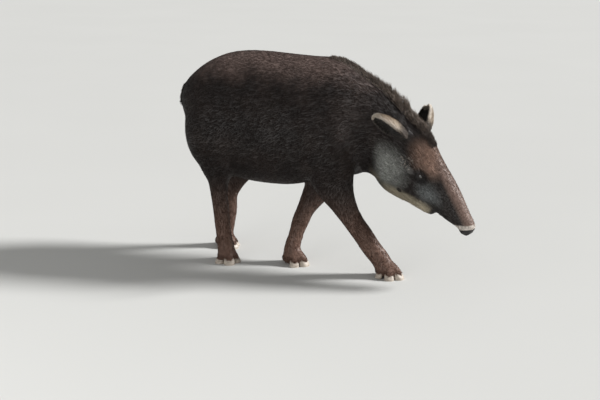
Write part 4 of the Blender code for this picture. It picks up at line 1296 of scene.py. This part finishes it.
def make_hoof(foot, toe, angle, reach, radius, lift):
    """The horn cap of one toe, flat where it stands on the floor."""
    matrix = foot_matrix(foot) @ Matrix.Rotation(angle, 4, "Z")
    across = matrix.to_3x3() @ Vector((0, 1, 0))
    sections = []
    for height, back, long, wide in rows_along(HOOF_SECTIONS, HOOF_RINGS):
        middle = Vector((reach + radius * (HOOF_REACH - back), 0, radius * height + lift))
        half = Vector((radius * long, 0, -radius * long * HOOF_SLANT * height))
        front, rear = matrix @ (middle + half), matrix @ (middle - half)
        half_width = radius * wide
        sections.append(oval(front, rear, half_width, 0.5, across, HOOF_SQUARE, HOOF_SQUARE))
    whole = bmesh.new()
    loft(whole, sections, HOOF_SIDES)
    everything = whole.verts[:] + whole.edges[:] + whole.faces[:]
    bmesh.ops.bisect_plane(
        whole, geom=everything, plane_co=(0, 0, 0), plane_no=(0, 0, 1), clear_inner=True
    )
    bmesh.ops.holes_fill(whole, edges=whole.edges)
    hoof = object_of(whole, f"{foot}_{toe}_horn")
    hoof.data.shade_smooth()
    hoof.data.set_sharp_from_angle(angle=math.radians(50))
    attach(hoof, BODY)
    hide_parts(f"{foot}_hoof_{toe}")
    return hoof


horn = Paint("hoof_horn", 0.4)
rings = horn.noise(60.0, 2.0, None, (0.6, 0.6, 9.0))
stain = horn.noise(90.0, 3.0)
height = horn.parts()[2]
nail = horn.mix(rings.ramp(0.3, 0.7), HORN_BROWN, HORN_PALE)
nail = horn.mix(height.ramp(0.018, 0.036), nail, HORN_TOP)
nail = horn.mix(stain.ramp(0.55, 0.75) * 0.5, nail, HORN_STAIN)
horn.feed("Base Color", nail)
horn.feed("Roughness", 0.34 + stain * 0.30)
horn.relief(rings + stain * 0.4, 0.5, 0.0015)
hooves = [make_hoof(foot, *toe) for foot in FEET for toe in toes_of(foot)]
for hoof in hooves:
    wear(hoof, horn)
print("hooves:", len(hooves))

# %% [markdown]
# ## The coat
#
# Particle hair doesn't leave Blender as a mesh, so the fur is solid: small closed blades, each a
# cone of three sides, flattened. The longer ones are cut across and bent. One blade is made with
# bmesh and copied along lists of roots, which are scattered over the skin by area. Each blade lies
# in the direction that hair grows there: from the nose to the tail, down the flanks and the legs.

# %% One blade, many times
BAKE_PATCH = 0.003
# How a blade narrows towards its tip, and how deep its root is sunk in the skin
BLADE_TAPER = 0.6
ROOT_SINK = 0.0015


def blade_shape(sides, cuts):
    """A closed blade of length 1: each point's share of the length and place in the section."""
    bm = bmesh.new()
    upright = Matrix.Translation((0, 0, 0.5))
    bmesh.ops.create_cone(
        bm, cap_ends=True, segments=sides, radius1=1, radius2=0, depth=1, matrix=upright
    )
    bmesh.ops.remove_doubles(bm, verts=bm.verts, dist=0.0001)
    for share in cuts:
        geometry = bm.verts[:] + bm.edges[:] + bm.faces[:]
        bmesh.ops.bisect_plane(bm, geom=geometry, plane_co=(0, 0, share), plane_no=(0, 0, 1))
    bmesh.ops.triangulate(bm, faces=bm.faces)
    bmesh.ops.recalc_face_normals(bm, faces=bm.faces)
    points = np.array([v.co for v in bm.verts])
    faces = np.array([[v.index for v in f.verts] for f in bm.faces])
    bm.free()
    share = points[:, 2]
    thin = np.maximum(1 - share, 0.0001)[:, None]
    return share, points[:, :2] / thin * (share < 0.999)[:, None], faces


FLAT_BLADE = blade_shape(3, ())
SHORT_BLADE = blade_shape(3, (0.5,))
LONG_BLADE = blade_shape(3, (0.28, 0.58, 0.82))

# %% Planting


def unit(vectors):
    """The same directions at length 1."""
    return vectors / np.maximum(np.linalg.norm(vectors, axis=1), 1e-9)[:, None]


def plant(name, roots, ways, curls, sizes, unwrapped, draw, shape=SHORT_BLADE, sink=ROOT_SINK):
    """Copies a blade to every root. Sizes hold length, half width, half thickness and curl."""
    share, around, faces = shape
    length, half_width, half_thick, curl = (sizes[:, i, None, None] for i in range(4))
    s = share[None, :, None]
    taper = (1 - s) ** BLADE_TAPER
    side = unit(np.cross(ways, curls))
    back = np.cross(side, ways)
    path = roots[:, None] + ways[:, None] * (length * s - sink * (1 - s))
    path = path + curls[:, None] * (curl * length * s * s)
    path = path + side[:, None] * (half_width * taper * around[None, :, :1])
    path = path + back[:, None] * (half_thick * taper * around[None, :, 1:])
    path[..., 2] = np.maximum(path[..., 2], SOLE_HEIGHT / 2)
    count, each = len(roots), len(share)
    corners = (faces[None] + (np.arange(count) * each)[:, None, None]).reshape(-1)
    mesh = bpy.data.meshes.new(name)
    mesh.vertices.add(count * each)
    mesh.vertices.foreach_set("co", path.reshape(-1))
    mesh.loops.add(len(corners))
    mesh.loops.foreach_set("vertex_index", corners)
    mesh.polygons.add(len(corners) // 3)
    mesh.polygons.foreach_set("loop_start", np.arange(0, len(corners), 3))
    mesh.update(calc_edges=True)
    patch = np.stack([0.5 * around[:, 0] * (1 - share), share - 0.5], axis=1) * BAKE_PATCH
    spots = (unwrapped[:, None] + patch[None]).reshape(-1, 2)[corners]
    mesh.uv_layers.new(name="OFBake").data.foreach_set("uv", spots.reshape(-1))
    tip = np.tile(share, count)
    shade = np.repeat(draw.uniform(0, 1, count), each)
    for layer, values in (("tip", tip), ("shade", shade)):
        mesh.attributes.new(layer, "FLOAT", "POINT").data.foreach_set("value", values)
    mesh.shade_smooth()
    obj = bpy.data.objects.new(name, mesh)
    scene.collection.objects.link(obj)
    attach(obj, BODY)
    print(f"{name}: {count} tufts, {len(mesh.polygons)} triangles")
    return obj

# %% [markdown]
# Roots come from the skin's triangles, each in proportion to its area and to the density wanted
# there. The skin is unwrapped by body part for the tufts' colours: the trunk and the head like
# tubes round their own axes, and the legs as four strips side by side.

# %% Roots on the skin
corner_index = np.empty(len(skin.data.polygons) * 3, int)
skin.data.polygons.foreach_get("vertices", corner_index)
SKIN_FACES = corner_index.reshape(-1, 3)
SKIN_POINTS = points_of(skin.data)
SKIN_NORMALS = points_of(skin.data, "normals")


def scatter(wanted, draw):
    """Roots and normals on the skin. wanted gives the tufts per square metre at some places."""
    a, b, c = (SKIN_POINTS[SKIN_FACES[:, i]] for i in range(3))
    area = np.linalg.norm(np.cross(b - a, c - a), axis=1) / 2
    expected = area * wanted((a + b + c) / 3)
    chosen = np.repeat(np.arange(len(area)), draw.poisson(expected))
    first, second = draw.uniform(0, 1, (2, len(chosen)))
    over = first + second > 1
    first, second = np.where(over, 1 - first, first), np.where(over, 1 - second, second)
    weights = np.stack([1 - first - second, first, second])[..., None]
    corners = SKIN_FACES[chosen].T
    roots = (SKIN_POINTS[corners] * weights).sum(axis=0)
    return roots, unit((SKIN_NORMALS[corners] * weights).sum(axis=0))

# %% The lie of the coat
# How far the neck's line falls and turns towards the head
NECK_FALL = math.radians(48)
NECK_TURN = math.radians(-19)
# How much the hair of the flank hangs down, and how much every hair strays
FLANK_HANG = 0.55
STRAY = 0.11
DOWN_THE_LEG = np.array([0.10, 0, -1.0])


def face_share(places):
    """1 on the head, 0 on the rest."""
    local = in_head(places)
    return ease(local[:, 0], -0.05, 0.03) * (places[:, 0] > 0.2) * (places[:, 2] > 0.13)


def lie_of_coat(places, normals, draw):
    """The way the hair points, along the skin, with some disorder."""
    fall = NECK_FALL * ease(places[:, 0], 0.08, 0.42)
    turn = NECK_TURN * ease(places[:, 0], 0.12, 0.42)
    level = np.cos(fall)
    ahead = np.stack([level * np.cos(turn), level * np.sin(turn), -np.sin(fall)], axis=1)
    flank = FLANK_HANG * (1 - np.abs(normals[:, 2:]))
    way = -ahead - np.array([0, 0, 1.0]) * flank
    face = face_share(places)[:, None]
    way = way * (1 - face) - np.array(HEAD.to_3x3().col[0]) * face
    leg = ((1 - ease(places[:, 2], 0.34, 0.50)) * (1 - face[:, 0]))[:, None]
    way = way * (1 - leg) + DOWN_THE_LEG * leg
    way = way + draw.normal(0, STRAY, way.shape)
    return unit(way - normals * (way * normals).sum(axis=1)[:, None])

# %% Unwrapping the skin's shape
INSIDE_MAP = (0.004, 0.996)
TRUNK_AXIS_HEIGHT = 0.68
HEAD_AXIS_DROP = 0.11


def turn_share(across, upright):
    """The angle round an axis as a share from 0 to 1."""
    return np.arctan2(across, upright) / (2 * math.pi) + 0.5


def unwrap_trunk(places):
    around = turn_share(places[:, 1], places[:, 2] - TRUNK_AXIS_HEIGHT)
    return np.clip(np.stack([places[:, 0] / 1.5 + 0.5, around], axis=1), *INSIDE_MAP)


def unwrap_head(places):
    local = in_head(places)
    around = turn_share(local[:, 1], local[:, 2] + HEAD_AXIS_DROP)
    return np.clip(np.stack([(local[:, 0] + 0.15) / 0.72, around], axis=1), *INSIDE_MAP)


def unwrap_legs(places):
    """Four strips side by side, one for each leg, with the height up the strip."""
    spots = np.zeros((len(places), 2))
    nearest = np.full(len(places), np.inf)
    for number, table in enumerate(LEGS.values()):
        rows = np.array(rows_along(table, 4))[::-1]
        centre = [np.interp(places[:, 2], rows[:, 2], rows[:, i]) + SHIFT[i] for i in (0, 1)]
        away = places[:, :2] - np.stack(centre, axis=1)
        mine = np.linalg.norm(away, axis=1)
        around = turn_share(away[:, 1], away[:, 0])
        strip = np.stack([(number + 0.03 + 0.94 * around) / 4, places[:, 2] / 0.62], axis=1)
        closer = mine < nearest
        nearest = np.where(closer, mine, nearest)
        spots = np.where(closer[:, None], strip, spots)
    return np.clip(spots, *INSIDE_MAP)

# %% Sowing
VARIETY = 0.25
RISE_VARIETY = 0.4


def sizes_of(count, draw, length, width, thick, curl):
    """Sizes with some variety: length, half width, half thickness and curl of each tuft."""
    vary = draw.uniform(1 - VARIETY, 1 + VARIETY, (count, 3))
    length = np.broadcast_to(length, count) * vary[:, 0]
    half_thick = np.full(count, thick / 2)
    return np.stack([length, width / 2 * vary[:, 1], half_thick, curl * vary[:, 2]], axis=1)


def sow(name, wanted, unwrap, seed, sizes, rise, shape=FLAT_BLADE):
    """Fur over a region of the skin, with the tufts' length, width, thickness and curl.

    wanted gives the tufts per square metre, and rise is how steeply the hair leaves the skin.
    """
    draw = np.random.default_rng(seed)
    roots, normals = scatter(wanted, draw)
    way = lie_of_coat(roots, normals, draw)
    steep = (rise * draw.uniform(1 - RISE_VARIETY, 1 + RISE_VARIETY, len(roots)))[:, None]
    length, *others = sizes
    if callable(length):
        length = length(roots)
    varied = sizes_of(len(roots), draw, length, *others)
    way = unit(way + normals * steep)
    piece = plant(name, roots, way, -normals, varied, unwrap(roots), draw, shape)
    return piece

# %% [markdown]
# Short flat hair is not shiny all over: each tuft is a little lighter or darker than its
# neighbour and paler at its tip. So the fur takes the skin's own markings and varies them by two
# attributes that every tuft carries, its shade and the share of its length.

# %% Fur paint
FUR_GLOSS = 0.2


def fur(name, lighter, roughness):
    """The skin's markings, with each tuft a little lighter or darker and paler at the tip."""
    paint = Paint(name, roughness, Specular_IOR_Level=FUR_GLOSS)
    colour = markings(paint)
    tip, shade = paint.attribute("tip"), paint.attribute("shade")
    dark = paint.mix(0.35, colour, BROWN_DARK)
    light = paint.mix(lighter, colour, PAINTED_SUN_AND_TIP_PALE)
    tone = (shade * 0.7 + tip * 0.5).ramp(0.1, 1.0)
    paint.feed("Base Color", paint.mix(tone, dark, light))
    paint.feed("Roughness", roughness + shade * 0.14)
    return paint


sleek = fur("sleek_fur", 0.045, 0.60)
short = fur("face_fur", 0.04, 0.60)
print("fur paints:", sleek.material.name, short.material.name)

# %% [markdown]
# The fur stands thickest on the face and the feet, where the tufts are smallest, and it leaves the
# eyes, the nostrils and the line of the mouth bare. It is sown part by part. Short fur lies flat,
# so its blades need no cut, and most of its look comes from the skin's bumps and from the shade of
# each tuft.

# %% Where each kind of fur grows
# Tufts per square metre
BODY_DENSITY = 46000
FACE_DENSITY = 100000
LEG_DENSITY = 50000
FOOT_DENSITY = 80000
# Half sizes of the hairless oval round an eye, along the lids, out of the head and across them
BARE_EYE = (0.0185, 1.0, 0.0115)
ANKLE_BAND = (0.085, 0.09)


def leg_share(places):
    """1 on the legs, 0 on the trunk and the head."""
    return (1 - face_share(places)) * (1 - ease(places[:, 2], 0.38, 0.44))


def trunk_share(places):
    return (1 - face_share(places)) * ease(places[:, 2], 0.38, 0.44)


def shin_share(places):
    return ease(places[:, 2], *ANKLE_BAND)


def bare_places(places):
    """0 in the eyes, the nostrils and the line of the mouth, 1 on hairy skin."""
    local = in_head(places)
    clear = np.ones(len(places))
    for matrix in EYE_FRAMES.values():
        spots = in_frame(matrix, places) / BARE_EYE
        clear *= np.linalg.norm(spots[:, [0, 2]], axis=1) > 1
    clear *= ~((mouth_distance(local) < 0.0035) & (local[:, 2] < -0.06))
    snout = (local[:, 0] > 0.500) & (local[:, 2] < -0.035)
    return clear * ~snout


def face_length(places):
    """Long at the cheek, and less than half of that on the snout."""
    return 0.0150 - 0.0085 * ease(in_head(places)[:, 0], 0.05, 0.45)

# %% Fur of the trunk
# The trunk's coat is cut in four, because a piece may only hold so many triangles
BODY_PARTS = {
    "coat_rump": (-0.80, -0.42),
    "coat_flanks": (-0.42, -0.10),
    "coat_shoulders": (-0.10, 0.14),
    "coat_neck": (0.14, 0.80),
}
# Length, width, thickness and curl of a tuft, and how steeply it rises
BODY_TUFT, BODY_RISE = (0.018, 0.0026, 0.0008, 0.0), 0.07
# The trunk's coat is cut in four pieces, which keeps each piece smaller
for seed, (name, (rear, front)) in enumerate(BODY_PARTS.items(), 20):

    def here(places, rear=rear, front=front):
        inside = (places[:, 0] >= rear) & (places[:, 0] < front)
        return BODY_DENSITY * trunk_share(places) * inside

    wear(sow(name, here, unwrap_trunk, seed, BODY_TUFT, BODY_RISE), sleek)

# %% Fur of the head, the legs and the feet
FACE_TUFT, FACE_RISE = (face_length, 0.0016, 0.0006, 0.0), 0.14
LEG_TUFT, LEG_RISE = (0.014, 0.0022, 0.0008, 0.0), 0.08
FOOT_TUFT, FOOT_RISE = (0.0080, 0.0016, 0.0006, 0.0), 0.16


def on_face(places):
    return FACE_DENSITY * face_share(places) * bare_places(places)


def on_legs(places):
    return LEG_DENSITY * leg_share(places) * shin_share(places)


def on_feet(places):
    above_floor = ease(places[:, 2], 0.004, 0.008)
    return FOOT_DENSITY * leg_share(places) * (1 - shin_share(places)) * above_floor


wear(sow("coat_head", on_face, unwrap_head, 30, FACE_TUFT, FACE_RISE), short)
wear(sow("coat_legs", on_legs, unwrap_legs, 31, LEG_TUFT, LEG_RISE), sleek)
wear(sow("coat_feet", on_feet, unwrap_legs, 32, FOOT_TUFT, FOOT_RISE), short)

# %% [markdown]
# ## The mane
#
# A lowland tapir carries a low crest of stiff bristles from the forehead to the withers. A strip
# of hair particles would be quick, but it can't leave Blender as a mesh. The bristles are longer
# blades with three cuts, so that they bend back smoothly. They are rooted in a band about 50 mm
# wide along the top line, lean towards the tail, fan out to both sides and shorten towards the
# edges. Neighbours stick together in clumps, so a slow noise is added to their length and lean.

# %% Bristles of the mane
# Where the mane starts and ends on each stretch, as stations of the trunk or places along the
# head, with the length of the bristles at both ends
MANE = {
    "neck": ((8.7, 14.2), (0.012, 0.052)),
    "head": ((-0.085, 0.125), (0.052, 0.018)),
}
MANE_BAND = 0.040
BRISTLES_PER_METRE = 12000
RIDGE_POINTS = 61


def trunk_ridge(place, step=0.05):
    """A point of the top line, the way towards the head, the way out and the way across."""
    top, _, across, _ = trunk_section(place)
    ahead = trunk_section(min(place + step, len(TRUNK) - 1))[0]
    behind = trunk_section(max(place - step, 0))[0]
    along = (ahead - behind).normalized()
    return top, along, along.cross(across), across


def head_ridge(x, step=0.01):
    """The same along the top of the skull."""
    table = np.array(SKULL)
    behind, here, ahead = (np.interp(x + d, table[:, 0], table[:, 1]) for d in (-step, 0, step))
    turned = HEAD.to_3x3()
    along = (turned @ Vector((2 * step, 0, ahead - behind))).normalized()
    across = turned @ Vector((0, 1, 0))
    return HEAD @ Vector((x, 0, here)), along, along.cross(across), across


def skin_tree():
    """Finds the skin under a point, so that the roots of bristles sit in it."""
    bm = bmesh.new()
    bm.from_mesh(skin.data)
    tree = BVHTree.FromBMesh(bm)
    bm.free()
    return tree


SKIN_TREE = skin_tree()
print("bristles, first and last lengths:", {name: lengths for name, (_, lengths) in MANE.items()})

# %% Growing the mane
# How far bristles lean back, the middle ones and then more towards the edges, and how they fan out
MANE_LEAN = math.radians(45)
EDGE_LEAN = 0.45
MANE_FAN = 0.50
# What the bristles at the edges lose of their length
EDGE_LOSS = 0.66
# Clumps: length along the mane, and how much they differ in length, lean and direction
CLUMP_LENGTH = 0.009
CLUMP_VARIETY = (0.18, 0.12, 0.10)
BRISTLE_WIDTH, BRISTLE_THICKNESS, BRISTLE_CURL = 0.0021, 0.0011, 0.14
BRISTLE_SINK = 0.003


def clumps_of(place, offset, draw):
    """Three values for each bristle, from -1 to 1, that its near neighbours share."""
    along = np.floor(place / CLUMP_LENGTH).astype(int)
    cells = along * 5 + np.floor((offset + 1) * 2).astype(int)
    return draw.uniform(-1, 1, (cells.max() + 1, 3))[cells]


def grow_mane(name, ridge, seed):
    """One stretch of the mane, along a ridge line."""
    (start, end), (first, last) = MANE[name]
    draw = np.random.default_rng(seed)
    spans = RIDGE_POINTS - 1
    stations = [ridge(start + (end - start) * i / spans) for i in range(RIDGE_POINTS)]
    table = np.array([[*top, *along, *out, *across] for top, along, out, across in stations])
    steps = np.linalg.norm(np.diff(table[:, :3], axis=0), axis=1)
    walked = np.concatenate([[0], np.cumsum(steps)])
    count = int(walked[-1] * BRISTLES_PER_METRE)
    place = draw.uniform(0, walked[-1], count)
    row = np.stack([np.interp(place, walked, table[:, i]) for i in range(12)], axis=1)
    top, along, out, across = (row[:, i:i + 3] for i in (0, 3, 6, 9))
    offset = np.clip(draw.normal(0, 0.5, count), -1, 1)[:, None]
    guess = top + across * (offset * MANE_BAND)
    roots = np.array([SKIN_TREE.find_nearest(Vector(p))[0] for p in guess])
    share = place / walked[-1]
    clump = clumps_of(place, offset[:, 0], draw) * CLUMP_VARIETY
    length = first + (last - first) * share
    edge = np.abs(offset[:, 0])
    length = length * (1 - EDGE_LOSS * edge**1.3) * (1 + clump[:, 0])
    lean = (MANE_LEAN + EDGE_LEAN * edge + clump[:, 1] + draw.normal(0, 0.08, count))[:, None]
    fan = offset * MANE_FAN + clump[:, 2:] + draw.normal(0, 0.06, (count, 1))
    way = unit(out * np.cos(lean) - along * np.sin(lean) + across * fan)
    sizes = sizes_of(count, draw, length, BRISTLE_WIDTH, BRISTLE_THICKNESS, BRISTLE_CURL)
    spots = np.clip(np.stack([share, 0.5 + 0.45 * offset[:, 0]], axis=1), *INSIDE_MAP)
    blade = (LONG_BLADE, BRISTLE_SINK)
    mane = plant("mane_" + name, roots, way, -along, sizes, spots, draw, *blade)
    return mane

# %% Colour of the mane
# The darkest and palest colours of bristles at their roots and at their tips
ROOT_COLOURS = ((0.020, 0.013, 0.011), (0.050, 0.034, 0.026))
TIP_COLOURS = ((0.130, 0.095, 0.072), (0.260, 0.205, 0.165))
FORELOCK_DARK = (0.040, 0.028, 0.022)
bristle = Paint("bristles", 0.5, Specular_IOR_Level=0.3)
tip, shade = bristle.attribute("tip"), bristle.attribute("shade")
patches = bristle.noise(34.0, 2.0)
root_colour = bristle.mix(shade, *ROOT_COLOURS)
tan = bristle.mix(shade, *TIP_COLOURS)
forelock = head_place(bristle)[0].ramp(-0.01, 0.08)
tan = bristle.mix(forelock * 0.85, tan, FORELOCK_DARK)
paler = (tip * 0.9 + patches * 0.5 + shade * 0.3).ramp(0.70, 1.35)
bristle.feed("Base Color", bristle.mix(paler, root_colour, tan))
bristle.feed("Roughness", 0.46 + shade * 0.2)
for seed, (name, ridge) in enumerate((("neck", trunk_ridge), ("head", head_ridge))):
    wear(grow_mane(name, ridge, 40 + seed), bristle)

# %% [markdown]
# ## Ear hair, chin, lashes and foot cuffs
#
# The last hair is the kind that breaks the outline: a white fringe round the ears, soft hair
# inside and behind them, longer pale hair under the chin, lashes on the upper lids, a tuft on the
# tail and a fringe over each hoof. The ears' hair grows from the points of the cup, each of which
# knows how near it is to the rim, and it takes those values along for its colour.

# %% Hair of the ears
# Hairs at each point of the rim, of the back and of the hollow
FRINGE_HAIRS, BACK_HAIRS, HOLLOW_HAIRS = 7, 5, 2
FRINGE_LENGTH, EAR_HAIR_LENGTH = 0.0085, 0.0080
FRINGE_RISE, EAR_HAIR_RISE = 0.9, 0.22
EAR_HAIR_WIDTH, EAR_HAIR_THICKNESS, EAR_HAIR_CURL = 0.0017, 0.0006, 0.10
ROOT_SPREAD = 0.0012


def values_of(mesh, layer):
    found = np.empty(len(mesh.vertices))
    mesh.attributes[layer].data.foreach_get("value", found)
    return found


def ear_hair(name, seed):
    """Short hair on the back of the cup and a fringe on its rim, both towards the tip."""
    mesh = ears[name].data
    draw = np.random.default_rng(seed)
    points, normals = points_of(mesh), points_of(mesh, "normals")
    values = {layer: values_of(mesh, layer) for layer in EAR_LAYERS}
    rim, inside, share = (values[layer] for layer in ("rim", "inside", "along"))
    _, _, along, _, across = ear_axes(name)
    tipward = np.array((HEAD.to_3x3() @ along)[:])
    fringe = (rim > 0.86) & (share > 0.22)
    back = (inside < 0.5) & (share > 0.02)
    hollow = (inside > 0.5) & (share > 0.06)
    times = fringe * FRINGE_HAIRS + back * BACK_HAIRS + hollow * HOLLOW_HAIRS
    chosen = np.repeat(np.arange(len(points)), times)
    roots = points[chosen] + draw.normal(0, ROOT_SPREAD, (len(chosen), 3))
    out = normals[chosen]
    steep = np.where(fringe[chosen], FRINGE_RISE, EAR_HAIR_RISE)[:, None]
    way = tipward + out * steep + draw.normal(0, 0.16, roots.shape)
    length = np.where(fringe[chosen], FRINGE_LENGTH, EAR_HAIR_LENGTH)
    others = (EAR_HAIR_WIDTH, EAR_HAIR_THICKNESS, EAR_HAIR_CURL)
    sizes = sizes_of(len(chosen), draw, length, *others)
    around = rim[chosen] * np.sign(out @ np.array(across))
    spots = np.stack([share[chosen], 0.5 + 0.45 * around], axis=1)
    spots = np.clip(spots, *INSIDE_MAP)
    hair = plant("hair_" + name, roots, unit(way), unit(-out), sizes, spots, draw)
    for layer, found in values.items():
        spread = np.repeat(found[chosen], len(SHORT_BLADE[0]))
        hair.data.attributes.new(layer, "FLOAT", "POINT").data.foreach_set("value", spread)
    return hair


EAR_HAIR_PALE = (0.40, 0.34, 0.28)
ear_fur = Paint("ear_fur", 0.5)
ear_tone = ear_fur.attribute("shade")
ear_fur.feed("Base Color", ear_fur.mix(ear_tone * 0.35, ear_colour(ear_fur), EAR_HAIR_PALE))
ear_fur.feed("Roughness", 0.45 + ear_tone * 0.15)
for seed, name in enumerate(EARS):
    wear(ear_hair(name, 50 + seed), ear_fur)

# %% Chin, tail and cuffs
CHIN_MIDDLE = (0.24, 0.0, -0.215)
CHIN_RADII = (0.17, 0.09, 0.075)


def chin_share(places):
    """1 under the middle of the jaw, fading to 0 where the longer hair ends."""
    away = np.linalg.norm((in_head(places) - CHIN_MIDDLE) / CHIN_RADII, axis=1)
    return (1 - ease(away, 0.3, 1.0)) * face_share(places) * bare_places(places)


def tail_share(places):
    """1 on the tail's end, 0 on the rest."""
    behind = places[:, 0] < TAIL[0][0] + SHIFT.x - 0.035
    high = ease(places[:, 2], 0.68, 0.69) * (places[:, 2] < 0.83)
    return behind * (np.abs(places[:, 1]) < 0.035) * high


def cuff_share(places):
    """The band just over the hooves."""
    band = ease(places[:, 2], 0.020, 0.026) * (1 - ease(places[:, 2], 0.036, 0.046))
    return band * leg_share(places)


# Where it grows, tufts per square metre, unwrapping, length and width, rise, paint and slot
LONGER_HAIR = {
    "hair_chin": (chin_share, 26000, unwrap_head, 0.0165, 0.0022, 0.34, short, "head_coat"),
    "hair_tail": (tail_share, 60000, unwrap_trunk, 0.0200, 0.0028, 0.30, sleek, "coat"),
    "hair_cuffs": (cuff_share, 90000, unwrap_legs, 0.0120, 0.0020, 0.30, short, "leg_coat"),
}
HAIR_THICKNESS, HAIR_CURL = 0.0008, 0.10
for seed, (name, row) in enumerate(LONGER_HAIR.items(), 60):
    region, dense, unwrap, length, width, rise, paint, slot = row
    tuft = (length, width, HAIR_THICKNESS, HAIR_CURL)
    wear(sow(name, lambda p: dense * region(p), unwrap, seed, tuft, rise, SHORT_BLADE), paint)

# %% Lashes
LASHES = 34
LASH_LENGTH = 0.0075
LASH_WIDTH, LASH_THICKNESS, LASH_CURL = 0.0007, 0.0005, 0.45
# The lashes stand on this share of the lid, this far over its rim, and splay out to both sides
LASH_SPAN = 0.85
LASH_RISE = 0.0006
LASH_SPLAY = 22


def make_lashes(side, seed):
    """A row of thin blades along the rim of the upper lid."""
    draw = np.random.default_rng(seed)
    turned = np.array(EYE_FRAMES[side])
    u = np.linspace(-LASH_SPAN, LASH_SPAN, LASHES) * ALMOND_HALF
    w = UPPER_LID * (1 - (u / ALMOND_HALF) ** 2) + LASH_RISE
    v = np.sqrt((EYE_RADIUS + LID_WALL) ** 2 - u**2 - w**2) - 0.0004
    local = np.stack([u, v, w * side], axis=1)
    way = np.stack([u * LASH_SPLAY, np.full(LASHES, 1.0), np.full(LASHES, 0.05 * side)], axis=1)
    curl = np.tile([0.0, 0.0, 1.0 * side], (LASHES, 1))
    roots = local @ turned[:3, :3].T + turned[:3, 3]
    way, curl = unit(way) @ turned[:3, :3].T, curl @ turned[:3, :3].T
    sizes = sizes_of(LASHES, draw, LASH_LENGTH, LASH_WIDTH, LASH_THICKNESS, LASH_CURL)
    name = "lashes_left" if side > 0 else "lashes_right"
    lashes = plant(name, roots, way, curl, sizes, unwrap_head(roots), draw, LONG_BLADE)
    return lashes


LASH_COLOURS = ((0.010, 0.008, 0.007), (0.028, 0.020, 0.016))
lash_paint = Paint("lash_hair", 0.4)
lash_tone = lash_paint.attribute("shade")
lash_paint.feed("Base Color", lash_paint.mix(lash_tone, *LASH_COLOURS))
for side in (-1, 1):
    wear(make_lashes(side, 70 + side), lash_paint)
